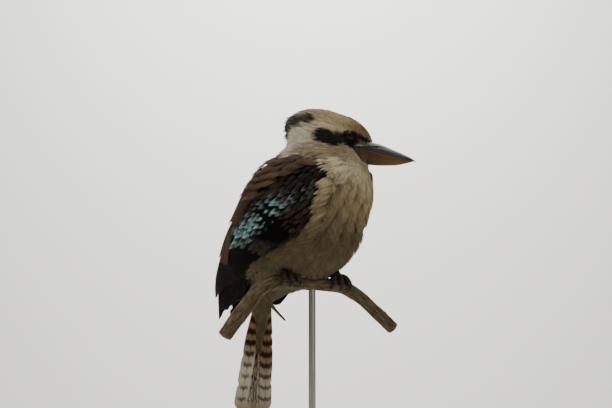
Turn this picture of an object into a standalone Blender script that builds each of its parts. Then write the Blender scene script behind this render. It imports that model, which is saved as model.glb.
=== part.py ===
"""A laughing kookaburra, life size, perched on a short cut branch that a plain display stand holds up.

Lengths here are millimetres and angles are degrees, and new_object() turns millimetres into metres.
The bird's own frame has +X the way its breast faces, +Y to its left and +Z up. Its origin lies on the
branch's centre line, midway between the feet. The head's frame has +X along the bill.
"""

from collections import namedtuple
from math import cos, radians, sin

import bmesh
import bpy
import numpy as np
from mathutils import Matrix, Vector

MM = 0.001
GAP = 0.3

# Display stand and perch
BASE_RADIUS = 86
BASE_THICKNESS = 16
BASE_EDGE = 2
ROD_RADIUS = 3.5
COLLAR_RADIUS = 8
COLLAR_HEIGHT = 5
PERCH_HEIGHT = 158
PERCH_YAW = 28
PERCH_RADIUS = 7.2
# Run along the branch, rise, and thickness as a share of PERCH_RADIUS
PERCH_ROUTE = [
    (-94, -55, 1.04),
    (-76, -31, 1.05),
    (-58, -10, 1.1),
    (-42, -1, 1.0),
    (-14, 0, 0.97),
    (14, 0, 0.96),
    (36, -1.5, 1.0),
    (54, -10, 0.96),
    (74, -25, 0.93),
    (94, -41, 0.9),
]
TWIG_START = (-54, -10)
TWIG_LENGTH = 42
TWIG_SLOPE = -55
TWIG_RADIUS = 2.6

# Pose
BODY_YAW = -40
HEAD_YAW = 20
HEAD_DIP = 17
HEAD_CENTRE = np.array([25.0, 0, 142])

# Trunk and head, as rounded masses that flow into each other
Mass = namedtuple("Mass", "centre radii pitch blend")
TRUNK = {
    "back": Mass((-20, 0, 68), (81, 53, 60), 54, 16),
    "breast": Mass((14, 0, 91), (50, 47, 53), 75, 14),
    "belly": Mass((4, 0, 50), (50, 45, 42), 30, 14),
    "rump": Mass((-60, 0, 36), (46, 36, 32), 62, 16),
    "vent": Mass((-62, 0, 10), (26, 24, 20), 80, 10),
    "neck": Mass((14, 0, 124), (39, 34, 34), 80, 16),
}
HEAD = {
    "skull": Mass((-9, 0, 3), (41, 29, 26), -3, 10),
    "forehead": Mass((17, 0, 3), (28, 21, 21.5), -22, 8),
    "lores": Mass((24, 0, -5), (22, 15, 13), -5, 8),
    "left cheek": Mass((-1, 15, -9), (26, 13, 17), 0, 8),
    "right cheek": Mass((-1, -15, -9), (26, 13, 17), 0, 8),
    "chin": Mass((14, 0, -18), (24, 18, 12), 0, 10),
}
SPINE_PITCH = 62
SPINE_POINT = np.array([-4.0, 0, 76])
HEAD_REACH = 58

# Cuts between torso, neck and head
NECK_BASE = np.array([10.0, 0, 113])
NECK_BASE_TILT = 12
NECK_TOP = -18
NECK_TOP_TILT = 4

# Bill: distances along it, with the height of each edge there
BILL_ROOT = 34
BILL_TIP = 91
BILL_X = [34, 44.5, 53, 63, 73, 83, 88, 91]
CULMEN = [7.2, 7.0, 6.3, 4.6, 2.9, 0.8, -0.6, -2.0]
MOUTH = [-2.2, -2.4, -2.7, -3.0, -2.9, -2.3, -2.3, -2.6]
JAW = [-15.2, -15.4, -14.4, -12.4, -9.8, -5.4, -3.0, -2.8]
BILL_HALF_WIDTH = [9.4, 8.6, 7.4, 5.9, 4.2, 2.4, 1.4, 0.5]
LOWER_BILL_TIP = 88
MOUTH_CORNER = 31
MOUTH_GROOVE = (1.2, 0.7)
NOSTRIL = (50, 2.4)
NOSTRIL_SIZE = (2.6, 1.2, 0.8)

# Eyes and lids
EYE_CENTRE = (26, 17, 4)
EYE_RADIUS = 7
LID_REACH = 1.4
LID_THICKNESS = 1.1
LID_SIDES = 18

# Wings: folded sheets round a guide line from the bend to the tip. Angles run from the side, 0, to the back, 90
WING_BEND = np.array([46.0, 0, 103])
WING_TIP = np.array([-103.0, 0, -37])
WING_LENGTH = np.linalg.norm(WING_TIP - WING_BEND)
WING_LINE = (WING_TIP - WING_BEND) / WING_LENGTH
WING_BACK = np.array([WING_LINE[2], 0, -WING_LINE[0]])
WING_STATIONS = [0, 0.15, 0.4, 0.62, 0.8, 0.92, 1.06]
WING_SIDE_RADIUS = [28, 40, 44, 37, 26, 18, 10]
WING_BACK_RADIUS = [28, 50, 70, 74, 63, 50, 10]
WING_LOWER_EDGE = [-5, -28, -20, 0, -14, -14, -10]
WING_UPPER_EDGE = [22, 51, 79, 83, 82, 80, 70]
WING_SINK = 2
WING_REACH = 1.08
WING_ROWS = 17
WING_CORE_ROWS = 11
WING_COLUMNS = 6
WING_CORE_HEIGHT = (3.4, 2.2)
WING_ROOM = 12
VANE_ROOM = 1
HAIR = 0.02

# Tracts of feathers on each wing, from the back down to the lower edge. Runs are shares of the wing's length,
# angles as above, heights and width millimetres, and tilt is how far each vane rises towards its lower edge
Tract = namedtuple("Tract", "count root_runs root_angles tip_runs tip_angles width heights tilt")
WING_TRACTS = {
    "primaries": Tract(6, (0.5, 0.52), (50, -2), (1.03, 0.82), (58, -9), 14, (1.3, 1.5), 0.13),
    "secondaries": Tract(7, (0.44, 0.46), (72, -4), (0.97, 0.7), (72, 5), 17, (2.0, 4.6), 0.09),
    "greater_coverts": Tract(6, (0.28, 0.24), (42, -20), (0.57, 0.46), (46, -13), 15, (2.0, 6.4), 0.09),
    "median_coverts": Tract(4, (0.17, 0.15), (34, -20), (0.4, 0.33), (40, -20), 18, (2.0, 6.8), 0.09),
    "lesser_coverts": Tract(3, (0.05, 0.03), (18, -10), (0.25, 0.21), (30, -18), 18, (1.6, 6.8), 0.09),
    "upper_scapulars": Tract(3, (0.12, 0.1), (50, 32), (0.36, 0.32), (66, 42), 17, (2.4, 7.4), 0.09),
    "lower_scapulars": Tract(4, (0.29, 0.26), (72, 46), (0.62, 0.54), (74, 50), 17, (2.2, 7.6), 0.09),
}
VANE_RUNS = [0, 0.55, 0.88, 1]
VANE_WIDTHS = [0.65, 1, 0.82, 0.35]
VANE_THICKNESS = (1.0, 0.6)
SEED = 7

# Tail, from a root inside the body to the tip, with its lower side facing the way the breast does
TAIL_ROOT = np.array([-63.0, 0, 16])
TAIL_TIP = np.array([-83.0, 0, -132])
TAIL_LENGTH = np.linalg.norm(TAIL_TIP - TAIL_ROOT)
TAIL_LINE = (TAIL_TIP - TAIL_ROOT) / TAIL_LENGTH
TAIL_UNDER = np.array([-TAIL_LINE[2], 0, TAIL_LINE[0]])
TAIL_PAIRS = 6
TAIL_FEATHER_WIDTH = 20
TAIL_TIP_OFFSETS = (2.5, 18.5)
TAIL_ROOT_OFFSETS = (1, 7)
TAIL_LAYER = 0.92
TAIL_CORE_LENGTH = 62
TAIL_CORE_WIDTH = (13, 12)
TAIL_CORE_DEPTH = (9, 3.5)
# Tail coverts: count, side (1 lower, -1 upper), root run, tip run, spread at the tip, width, heights
TAIL_COVERTS = [
    (5, 1, 14, 66, 12, 14, (3, 8)),
    (4, 1, 30, 86, 8, 13, (2.5, 6.5)),
    (5, -1, 14, 58, 11, 13, (3, 8)),
]

# Crest: rows of feathers over the rear crown and nape
# Count, place along the head, half spread, root height angle, length, width, lift of the tips
CREST_ROWS = [
    (5, -14, 13, 24, 8, 3.2),
    (5, -26, 16, 24, 8, 4.4),
    (5, -38, 17, 20, 8, 3.6),
]
CREST_DROP = 34

# Legs
FOOT_SPREAD = 28
TARSUS_RADIUS = 4
TARSUS_LENGTH = 20
TARSUS_LEAN = -7
TOE_RADIUS = 3.1


def turn_y(angle):
    """Turns +X towards -Z, as a bow does."""
    a = radians(angle)
    return np.array([[cos(a), 0, sin(a)], [0, 1, 0], [-sin(a), 0, cos(a)]])


def turn_z(angle):
    a = radians(angle)
    return np.array([[cos(a), -sin(a), 0], [sin(a), cos(a), 0], [0, 0, 1]])


HEAD_TURN = turn_z(HEAD_YAW) @ turn_y(HEAD_DIP)
PERCH_TURN = turn_z(PERCH_YAW - BODY_YAW)


def from_head(points):
    return np.asarray(points, float) @ HEAD_TURN.T + HEAD_CENTRE


def curve(at, stations, values):
    """A smooth curve through the named values."""
    at = np.asarray(at, float)
    x = np.asarray(stations, float)
    y = np.asarray(values, float)
    slopes = np.gradient(y, x, axis=0)
    i = np.clip(np.searchsorted(x, at, side="right") - 1, 0, len(x) - 2)
    step = x[i + 1] - x[i]
    t = (at - x[i]) / step
    if y.ndim > 1:
        step = step[..., None]
        t = t[..., None]
    return (
        (2 * t**3 - 3 * t**2 + 1) * y[i]
        + (t**3 - 2 * t**2 + t) * step * slopes[i]
        + (3 * t**2 - 2 * t**3) * y[i + 1]
        + (t**3 - t**2) * step * slopes[i + 1]
    )


def mass_distance(points, centre, radii, turn):
    scaled = (points - centre) @ turn / radii
    near = np.linalg.norm(scaled, axis=-1)
    slope = np.linalg.norm(scaled / radii, axis=-1)
    return near * (near - 1) / np.maximum(slope, 1e-9)


def blended(first, second, width):
    share = np.clip(0.5 + 0.5 * (second - first) / width, 0, 1)
    return second * (1 - share) + first * share - width * share * (1 - share)


def body_distance(points):
    """How far points lie outside the bird's surface."""
    found = np.full(points.shape[:-1], 1e3)
    for mass in TRUNK.values():
        there = mass_distance(points, mass.centre, mass.radii, turn_y(-mass.pitch))
        found = blended(found, there, mass.blend)
    for mass in HEAD.values():
        turn = HEAD_TURN @ turn_y(-mass.pitch)
        there = mass_distance(points, from_head(mass.centre), mass.radii, turn)
        found = blended(found, there, mass.blend)
    return found


def head_distance(points):
    return np.maximum(body_distance(points), np.linalg.norm(points - HEAD_CENTRE, axis=-1) - HEAD_REACH)


def way_out(distance, origins, directions, reach, level=0.0, steps=48, halvings=20):
    """The run along each direction from its origin to where the distance first passes level."""
    runs = np.linspace(0, reach, steps)
    found = np.full(origins.shape[:-1], float(reach))
    open_rays = np.ones(origins.shape[:-1], bool)
    for near, far in zip(runs[:-1], runs[1:]):
        outside = distance(origins + far * directions) > level
        found = np.where(open_rays & outside, near, found)
        open_rays &= ~outside
    low = found
    high = found + runs[1]
    for _ in range(halvings):
        middle = (low + high) / 2
        outside = distance(origins + middle[..., None] * directions) > level
        high = np.where(outside, middle, high)
        low = np.where(outside, low, middle)
    return low


def rings_of(distance, middle, axis, side, count, sides, reach, level=0.0):
    """Rings round an axis through the surface, closer together at its two ends, and the two end points."""
    ends = way_out(distance, np.array([middle, middle]), np.array([-axis, axis]), reach, level)
    first = middle - ends[0] * axis
    last = middle + ends[1] * axis
    along = (1 - np.cos(np.linspace(0, np.pi, count + 2)[1:-1])) / 2
    around = np.linspace(0, 2 * np.pi, sides, endpoint=False)
    up = np.cross(axis, side)
    spokes = np.cos(around)[:, None] * side + np.sin(around)[:, None] * up
    origins = np.repeat((first + along[:, None] * (last - first))[:, None], sides, axis=1)
    spokes = np.repeat(spokes[None], count, axis=0)
    out = way_out(distance, origins, spokes, reach, level)
    return origins + out[..., None] * spokes, first, last


def loft(rings, first, last):
    """Points and faces of a closed skin over rings, ended in two points."""
    count, sides = rings.shape[:2]
    points = np.concatenate([rings.reshape(-1, 3), [first, last]])
    faces = []
    for i in range(count - 1):
        for j in range(sides):
            k = (j + 1) % sides
            faces.append((i * sides + j, i * sides + k, (i + 1) * sides + k, (i + 1) * sides + j))
    for j in range(sides):
        k = (j + 1) % sides
        faces.append((count * sides, k, j))
        faces.append((count * sides + 1, (count - 1) * sides + j, (count - 1) * sides + k))
    return points, faces


def slab(inner, outer):
    """Points and faces of a closed plate between two grids, both split into triangles alike."""
    rows, columns = inner.shape[:2]
    points = np.concatenate([inner.reshape(-1, 3), outer.reshape(-1, 3)])
    top = rows * columns
    faces = []
    for i in range(rows - 1):
        for j in range(columns - 1):
            a = i * columns + j
            b = a + columns
            faces += [(a, a + 1, b + 1), (a, b + 1, b)]
            faces += [(top + a, top + b + 1, top + a + 1), (top + a, top + b, top + b + 1)]
    rim = [j for j in range(columns)]
    rim += [i * columns + columns - 1 for i in range(1, rows)]
    rim += [(rows - 1) * columns + j for j in range(columns - 2, -1, -1)]
    rim += [i * columns for i in range(rows - 2, 0, -1)]
    for a, b in zip(rim, rim[1:] + rim[:1]):
        faces.append((b, a, top + a, top + b))
    return points, faces


def tube(centres, radii, sides, flat=1.0):
    """A closed tube along centres. flat is its height as a share of its width."""
    centres = np.asarray(centres, float)
    radii = np.asarray(radii, float)
    along = np.gradient(centres, axis=0)
    along /= np.linalg.norm(along, axis=1)[:, None]
    middle = (centres[0] + centres[-1]) / 2
    bend = np.cross(centres[len(centres) // 2] - middle, centres[-1] - centres[0])
    if np.linalg.norm(bend) < 1e-6:
        bend = np.cross(centres[-1] - centres[0], (0.3, 1, 0.2))
    side = bend / np.linalg.norm(bend)
    around = np.linspace(0, 2 * np.pi, sides, endpoint=False)
    rings = []
    for centre, radius, ahead in zip(centres, radii, along):
        across = side - ahead * (side @ ahead)
        across /= np.linalg.norm(across)
        up = np.cross(ahead, across)
        ring = np.cos(around)[:, None] * across + flat * np.sin(around)[:, None] * up
        rings.append(centre + radius * ring)
    return loft(np.array(rings), centres[0], centres[-1])


def material(name, colour, roughness, metallic=0.0):
    made = bpy.data.materials.new(name)
    made.diffuse_color = (*colour, 1)
    made.use_nodes = True
    shader = made.node_tree.nodes["Principled BSDF"]
    shader.inputs["Base Color"].default_value = (*colour, 1)
    shader.inputs["Roughness"].default_value = roughness
    shader.inputs["Metallic"].default_value = metallic
    return made


def clean_mesh(mesh):
    """Keeps the largest closed surface and turns its faces outwards."""
    shape = bmesh.new()
    shape.from_mesh(mesh)
    bmesh.ops.recalc_face_normals(shape, faces=shape.faces[:])
    waiting = set(shape.verts)
    islands = []
    while waiting:
        front = [waiting.pop()]
        island = list(front)
        while front:
            for edge in front.pop().link_edges:
                for vertex in edge.verts:
                    if vertex in waiting:
                        waiting.remove(vertex)
                        front.append(vertex)
                        island.append(vertex)
        islands.append(island)
    islands.sort(key=extent, reverse=True)
    for island in islands[1:]:
        bmesh.ops.delete(shape, geom=island, context="VERTS")
    shape.to_mesh(mesh)
    shape.free()


def extent(vertices):
    places = np.array([vertex.co for vertex in vertices])
    return np.linalg.norm(places.max(axis=0) - places.min(axis=0))


def new_object(name, points, faces, finish=None, parent=None):
    mesh = bpy.data.meshes.new(name)
    mesh.from_pydata((np.asarray(points, float) * MM).tolist(), [], faces)
    clean_mesh(mesh)
    if finish:
        mesh.materials.append(finish)
    made = bpy.data.objects.new(name, mesh)
    made.parent = parent
    bpy.context.scene.collection.objects.link(made)
    return made


def applied(target):
    """Writes the modifiers' result into the mesh."""
    bpy.context.view_layer.update()
    result = bpy.data.meshes.new_from_object(target.evaluated_get(bpy.context.evaluated_depsgraph_get()))
    result.name = target.name
    target.modifiers.clear()
    target.data = result
    clean_mesh(result)


def combine(target, others, operation, solver="EXACT", keep=False):
    """One Boolean of the target with a collection of closed meshes, applied, which then go."""
    group = bpy.data.collections.new("pieces")
    bpy.context.scene.collection.children.link(group)
    for other in others:
        group.objects.link(other)
    boolean = target.modifiers.new("combine", "BOOLEAN")
    boolean.operation = operation
    boolean.operand_type = "COLLECTION"
    boolean.collection = group
    boolean.solver = solver
    applied(target)
    for other in others:
        group.objects.unlink(other)
        if not keep:
            bpy.data.objects.remove(other)
    bpy.data.collections.remove(group)


def cut_flat(target, point, normal):
    """Removes what lies beyond a plane, and closes the cut."""
    shape = bmesh.new()
    shape.from_mesh(target.data)
    bmesh.ops.bisect_plane(
        shape,
        geom=shape.verts[:] + shape.edges[:] + shape.faces[:],
        plane_co=Vector(point) * MM,
        plane_no=Vector(normal),
        clear_outer=True,
    )
    rim = [edge for edge in shape.edges if edge.is_boundary]
    bmesh.ops.edgeloop_fill(shape, edges=rim)
    shape.to_mesh(target.data)
    shape.free()
    clean_mesh(target.data)


def soften(target, angle=40):
    target.data.shade_smooth()
    target.data.set_sharp_from_angle(angle=radians(angle))


def trunk_object(name, parent, finish=None, level=0.0):
    axis = np.array([cos(radians(SPINE_PITCH)), 0, sin(radians(SPINE_PITCH))])
    rings, tail_end, head_end = rings_of(
        body_distance, SPINE_POINT, axis, np.array([0.0, -1, 0]), 19, 30, 150, level
    )
    points, faces = loft(rings, tail_end, head_end)
    return new_object(name, points, faces, finish, parent)


def neck_base_plane():
    normal = turn_y(NECK_BASE_TILT) @ np.array([0.0, 0, 1])
    return NECK_BASE, normal


def neck_top_plane():
    normal = HEAD_TURN @ turn_y(NECK_TOP_TILT) @ np.array([0.0, 0, 1])
    return from_head((0, 0, NECK_TOP)), normal


def wing_point(along, around, out, hand):
    """A point of the folded wing. along runs from bend to tip, around from the side to the back."""
    along = np.asarray(along, float)
    angle = np.radians(around)
    side = curve(along, WING_STATIONS, WING_SIDE_RADIUS)
    back = curve(along, WING_STATIONS, WING_BACK_RADIUS)
    free = 1 / np.hypot(np.cos(angle) / side, np.sin(angle) / back)
    origins = WING_BEND + (along * WING_LENGTH)[..., None] * WING_LINE
    spokes = np.sin(angle)[..., None] * WING_BACK + np.cos(angle)[..., None] * np.array([0.0, -1, 0])
    body = way_out(body_distance, origins, spokes, 110) - WING_SINK
    body = np.where(body_distance(origins) < 0, body, 0)
    radius = -blended(-free, -body, 8)
    points = origins + (radius + out)[..., None] * spokes
    return points * np.array([1, -hand, 1])


def wing_edges(along, margin=0.0):
    """The angles of the wing's two edges there, each moved out by a margin in millimetres."""
    turn = np.degrees(margin / curve(along, WING_STATIONS, WING_SIDE_RADIUS))
    lower = curve(along, WING_STATIONS, WING_LOWER_EDGE) - turn
    upper = curve(along, WING_STATIONS, WING_UPPER_EDGE) + turn
    return lower, upper


def wing_grid(rows, margin=0.0):
    """Runs and angles of a grid over the folded wing, its first rows alone, with a margin past both edges."""
    runs = np.linspace(0, WING_REACH, WING_ROWS)
    t, across = np.meshgrid(runs, np.linspace(0, 1, WING_COLUMNS), indexing="ij")
    along = t * (1 - 0.05 * (2 * across - 1) ** 2)
    lower, upper = wing_edges(along)
    around = lower + (upper - lower) * across
    wide_lower, wide_upper = wing_edges(along, margin)
    around[:, 0] = wide_lower[:, 0]
    around[:, -1] = wide_upper[:, -1]
    return along[:rows], around[:rows], across[:rows]


def wing_core_height(along, across):
    crown = np.sin(np.pi * np.clip(across, 0, 1)) ** 0.4
    front = np.clip(along / 0.06, 0, 1) ** 0.5
    high, low = WING_CORE_HEIGHT
    return 0.6 + (high - 0.6 + (low - high) * along) * crown * front


def wing_vane(tract, share, hand, parent, draw):
    """One feather of a tract, as a thin closed plate that rises off the sheet from root to tip."""
    root = np.interp(share, [0, 1], tract.root_runs)
    tip = np.interp(share, [0, 1], tract.tip_runs) + draw.uniform(-0.008, 0.008)
    root_angle = np.interp(share, [0, 1], tract.root_angles)
    tip_angle = np.interp(share, [0, 1], tract.tip_angles) + draw.uniform(-1, 1)
    t = np.array(VANE_RUNS)
    along = root + (tip - root) * t
    around = root_angle + (tip_angle - root_angle) * t
    guide = WING_BEND + (along * WING_LENGTH)[:, None] * WING_LINE
    reach = np.linalg.norm(wing_point(along, around, 0, -1) - guide, axis=-1)
    half = tract.width / 2 * np.array(VANE_WIDTHS)
    height = np.interp(t, [0, 1], tract.heights)
    thick = np.interp(t, [0, 1], VANE_THICKNESS) / 2
    lower, upper = wing_edges(np.clip(along, 0, 1))
    angles = np.clip(
        np.stack([around + np.degrees(half / reach), around - np.degrees(half / reach)], axis=1),
        lower[:, None],
        upper[:, None],
    )
    out = np.stack([height - tract.tilt * half, height + tract.tilt * half], axis=1)
    along = np.repeat(along[:, None], 2, axis=1)
    inner = wing_point(along, angles, out - thick[:, None], hand)
    outer = wing_point(along, angles, out + thick[:, None], hand)
    points, faces = slab(inner, outer)
    return new_object("vane", points, faces, None, parent)


def build_wing(name, hand, parent, finish):
    along, around, across = wing_grid(WING_CORE_ROWS)
    inner = wing_point(along, around, 0, hand)
    outer = wing_point(along, around, wing_core_height(along, across), hand)
    points, faces = slab(inner, outer)
    wing = new_object(name, points, faces, finish, parent)
    draw = np.random.default_rng(SEED)
    vanes = []
    for tract in WING_TRACTS.values():
        for i in range(tract.count):
            vanes.append(wing_vane(tract, i / (tract.count - 1), hand, parent, draw))
    combine(wing, vanes, "UNION")
    combine(wing, [wing_room("wing_room", hand, parent, 0.0)], "INTERSECT")
    return wing


def wing_room(name, hand, parent, grow):
    """The room that a folded wing fills, from the face of its core, and lower under its long vanes."""
    along, around, _ = wing_grid(WING_ROWS, GAP + grow)
    past_core = np.arange(WING_ROWS)[:, None] >= WING_CORE_ROWS
    inner = wing_point(along, around, np.where(past_core, -VANE_ROOM, -HAIR) - grow, hand)
    outer = wing_point(along, around, WING_ROOM + grow, hand)
    points, faces = slab(inner, outer)
    return new_object(name, points, faces, None, parent)


def bill_rings(stations, edge, mouth_gap):
    """Rings of half the bill: an arch from the mouth line out to the named edge."""
    angles = np.linspace(0, np.pi, 9)
    rings = []
    for x in stations:
        mouth = np.interp(x, BILL_X, MOUTH) + mouth_gap
        width = np.interp(x, BILL_X, BILL_HALF_WIDTH)
        height = curve(x, BILL_X, edge) - mouth
        y = width * np.cos(angles)
        z = mouth + height * np.sin(angles) ** 0.85
        rings.append(np.stack([0 * y + x, y, z], axis=-1))
    return np.array(rings)


def bill_half(name, edge, tip, mouth_gap, parent, finish, grow=0.0):
    stations = np.concatenate([[BILL_ROOT - 0.5 - grow, BILL_ROOT + 6], np.linspace(BILL_X[1], tip - 1.5, 9)])
    rings = bill_rings(stations, edge, mouth_gap)
    first = rings[0].mean(axis=0)
    last = rings[-1].mean(axis=0) + np.array([1.5, 0, 0])
    points, faces = loft(rings, first, last)
    return new_object(name, from_head(points), faces, finish, parent)


def bill_clearance(parent):
    """The space that both halves of the bill and their gap to the head need."""
    angles = np.linspace(0, 2 * np.pi, 20, endpoint=False)
    rings = []
    for x in (BILL_ROOT - GAP - 0.5, BILL_ROOT + 6, BILL_X[1], BILL_X[2], BILL_X[3]):
        top = curve(x, BILL_X, CULMEN) + GAP
        bottom = curve(x, BILL_X, JAW) - GAP
        mouth = np.interp(x, BILL_X, MOUTH)
        width = np.interp(x, BILL_X, BILL_HALF_WIDTH) + GAP
        y = width * np.cos(angles)
        arch = np.abs(np.sin(angles)) ** 0.85
        z = mouth + np.where(np.sin(angles) > 0, top - mouth, bottom - mouth) * arch
        rings.append(np.stack([0 * y + x, y, z], axis=-1))
    rings = np.array(rings)
    points, faces = loft(rings, rings[0].mean(axis=0), rings[-1].mean(axis=0))
    return new_object("bill_clearance", from_head(points), faces, None, parent)


def ellipsoid(name, centre, radii, turn, parent, finish=None, rings=9, sides=16):
    """A closed ball, stretched to its radii, at a centre in the bird's frame."""
    polar = np.linspace(0, np.pi, rings + 2)[1:-1]
    around = np.linspace(0, 2 * np.pi, sides, endpoint=False)
    unit = np.stack(
        [
            np.cos(polar)[:, None] + 0 * around,
            np.sin(polar)[:, None] * np.cos(around),
            np.sin(polar)[:, None] * np.sin(around),
        ],
        axis=-1,
    )
    poles = np.array([[1.0, 0, 0], [-1.0, 0, 0]]) * radii @ turn.T + centre
    points, faces = loft(unit * radii @ turn.T + centre, poles[0], poles[1])
    return new_object(name, points, faces, finish, parent)


def eye_turn(hand):
    """Turns +X to the way that the eye looks out."""
    return HEAD_TURN @ turn_z(hand * 72)


def eye_place(hand):
    x, y, z = EYE_CENTRE
    return from_head((x, hand * y, z))


def lid_ring(hand, parent):
    """A raised ring of lid round the eye."""
    around = np.linspace(0, 2 * np.pi, LID_SIDES, endpoint=False)
    section = np.linspace(0, 2 * np.pi, 5, endpoint=False)
    turn = eye_turn(hand)
    middle = EYE_RADIUS * 0.93
    points = []
    for a in around:
        for b in section:
            reach = middle + LID_REACH * cos(b) * 0.8
            depth = EYE_RADIUS * 0.45 + LID_THICKNESS * sin(b)
            points.append((depth, reach * cos(a), reach * sin(a) * 0.94))
    faces = []
    for i in range(LID_SIDES):
        for j in range(5):
            k = (i + 1) % LID_SIDES
            m = (j + 1) % 5
            faces.append((i * 5 + j, i * 5 + m, k * 5 + m, k * 5 + j))
    points = np.array(points) @ turn.T + eye_place(hand)
    return new_object("lid", points, faces, None, parent)


def mouth_groove(parent):
    """A thin wedge that marks the mouth line from the bill back to its corner."""
    depth, height = MOUTH_GROOVE
    z = np.interp(BILL_X[0], BILL_X, MOUTH)
    corners = []
    for x, wide in ((MOUTH_CORNER, 15.5), (BILL_X[1] + 2, 9)):
        for y in (-wide, wide):
            for rise in (-height / 2, height / 2):
                corners.append((x, y, z + rise))
    faces = [(0, 1, 3, 2), (4, 6, 7, 5), (0, 4, 5, 1), (2, 3, 7, 6), (0, 2, 6, 4), (1, 5, 7, 3)]
    return new_object("mouth_groove", from_head(corners), faces, None, parent)


def build_head(parent, finish):
    rings, back, front = rings_of(
        head_distance,
        from_head((-6, 0, 0)),
        HEAD_TURN @ np.array([1.0, 0, 0]),
        HEAD_TURN @ np.array([0.0, -1, 0]),
        17,
        25,
        90,
    )
    points, faces = loft(rings, back, front)
    head = new_object("head", points, faces, finish, parent)
    point, normal = neck_top_plane()
    cut_flat(head, point + normal * GAP / 2, -normal)
    combine(head, [lid_ring(hand, parent) for hand in (1, -1)] + crest(parent), "UNION")
    cutters = [bill_clearance(parent), mouth_groove(parent)]
    for hand in (1, -1):
        size = np.full(3, EYE_RADIUS + GAP)
        cutters.append(ellipsoid("eye_clearance", eye_place(hand), size, eye_turn(hand), parent))
    combine(head, cutters, "DIFFERENCE")
    return head


def build_bill(parent, upper_finish, lower_finish):
    upper = bill_half("bill_upper", CULMEN, BILL_TIP, GAP / 2, parent, upper_finish)
    cutters = []
    for hand in (1, -1):
        x, z = NOSTRIL
        width = np.interp(x, BILL_X, BILL_HALF_WIDTH)
        place = from_head((x, hand * width * 0.9, z))
        cutters.append(
            ellipsoid("nostril", place, NOSTRIL_SIZE, HEAD_TURN @ turn_y(12), parent, None, 5, 8)
        )
    combine(upper, cutters, "DIFFERENCE")
    lower = bill_half("bill_lower", JAW, LOWER_BILL_TIP, -GAP / 2, parent, lower_finish)
    return upper, lower


def perch_line(at):
    """Points of the branch's centre line for runs along it, in the bird's frame."""
    runs, rises, _ = zip(*PERCH_ROUTE)
    at = np.asarray(at, float)
    line = np.stack([at, 0 * at, curve(at, runs, rises)], axis=-1)
    return line @ PERCH_TURN.T


def perch_radius(at):
    runs, _, shares = zip(*PERCH_ROUTE)
    return PERCH_RADIUS * curve(at, runs, shares)


def perch_tube(name, parent, finish=None, grow=0.0, count=21, sides=12):
    at = np.linspace(PERCH_ROUTE[0][0], PERCH_ROUTE[-1][0], count)
    points, faces = tube(perch_line(at), perch_radius(at) + grow, sides)
    return new_object(name, points, faces, finish, parent)


def build_perch(parent, finish):
    perch = perch_tube("perch", parent, finish)
    run, rise = TWIG_START
    slope = radians(TWIG_SLOPE)
    at = np.linspace(0, TWIG_LENGTH, 6)
    line = np.stack([run + at * cos(slope), 0 * at, rise + at * sin(slope) + 0.004 * at**2], axis=-1)
    radii = TWIG_RADIUS * (1 + 0.6 * np.exp(-at / 5) - 0.004 * at)
    points, faces = tube(line @ PERCH_TURN.T, radii, 8)
    combine(perch, [new_object("twig", points, faces, None, parent)], "UNION")
    return perch


def toe_line(place, sweep, fan, length_share):
    """Centre line and radii of one toe with its claw, bent round the branch from its top."""
    angles = np.radians(np.linspace(-8, 92, 5) * length_share) * sweep
    out = perch_radius(place) + TOE_RADIUS * 0.8
    line = []
    for angle, share in zip(angles, np.linspace(0, 1, 5)):
        line.append((fan * share, -out * sin(angle), out * cos(angle)))
    for turn, step in ((24, 0.5), (56, -1.2)):
        angle = angles[-1] + radians(turn) * sweep
        line.append((fan * 1.1, -(out + step) * sin(angle), (out + step) * cos(angle)))
    thick = TOE_RADIUS * np.array([1.05, 0.95, 0.95, 0.85, 0.8, 0.5, 0.16])
    return np.array(line) @ PERCH_TURN.T + perch_line(place), thick


def lengthened(line, more):
    """The line with both its ends moved outwards."""
    first = line[0] - line[1]
    last = line[-1] - line[-2]
    ends = [line[0] + more * first / np.linalg.norm(first), line[-1] + more * last / np.linalg.norm(last)]
    return np.concatenate([ends[:1], line[1:-1], ends[1:]])


def leg_tubes(hand, parent, grow=0.0):
    """The closed tubes of one leg: the shank, three toes forward and one back."""
    place = hand * FOOT_SPREAD
    ankle = perch_line(place) + np.array([0, 0, perch_radius(place) + TOE_RADIUS * 0.7])
    hip = ankle + np.array([TARSUS_LEAN, 0, TARSUS_LENGTH + grow])
    shank = ankle + np.linspace(0, 1, 5)[:, None] * (hip - ankle)
    tubes = [(shank, TARSUS_RADIUS * np.array([1.3, 1, 0.95, 1, 1.1]), 10)]
    for spread, sweep, fan, share in ((-4, 1, -5, 0.95), (0, 1, 0.5, 1.05), (4, 1, 6, 0.95), (0, -1, -1, 0.9)):
        line, thick = toe_line(place + spread, sweep, fan, share)
        tubes.append((line, thick, 6))
    made = []
    for line, thick, sides in tubes:
        points, faces = tube(lengthened(line, grow), thick + grow, sides)
        made.append(new_object("leg_tube", points, faces, None, parent))
    return made


def build_leg(name, hand, parent, finish, perch_clearance):
    leg, *toes = leg_tubes(hand, parent)
    leg.name = name
    leg.data.name = name
    leg.data.materials.append(finish)
    combine(leg, toes, "UNION", "MANIFOLD")
    combine(leg, [perch_clearance], "DIFFERENCE", "MANIFOLD", keep=True)
    return leg


def tail_point(run, across, under):
    """A point of the tail: run down it, across to the left, and out of its lower side."""
    run, across, under = np.broadcast_arrays(run, across, under)
    return (
        TAIL_ROOT
        + run[..., None] * TAIL_LINE
        + across[..., None] * np.array([0, 1, 0])
        + under[..., None] * TAIL_UNDER
    )


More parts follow.
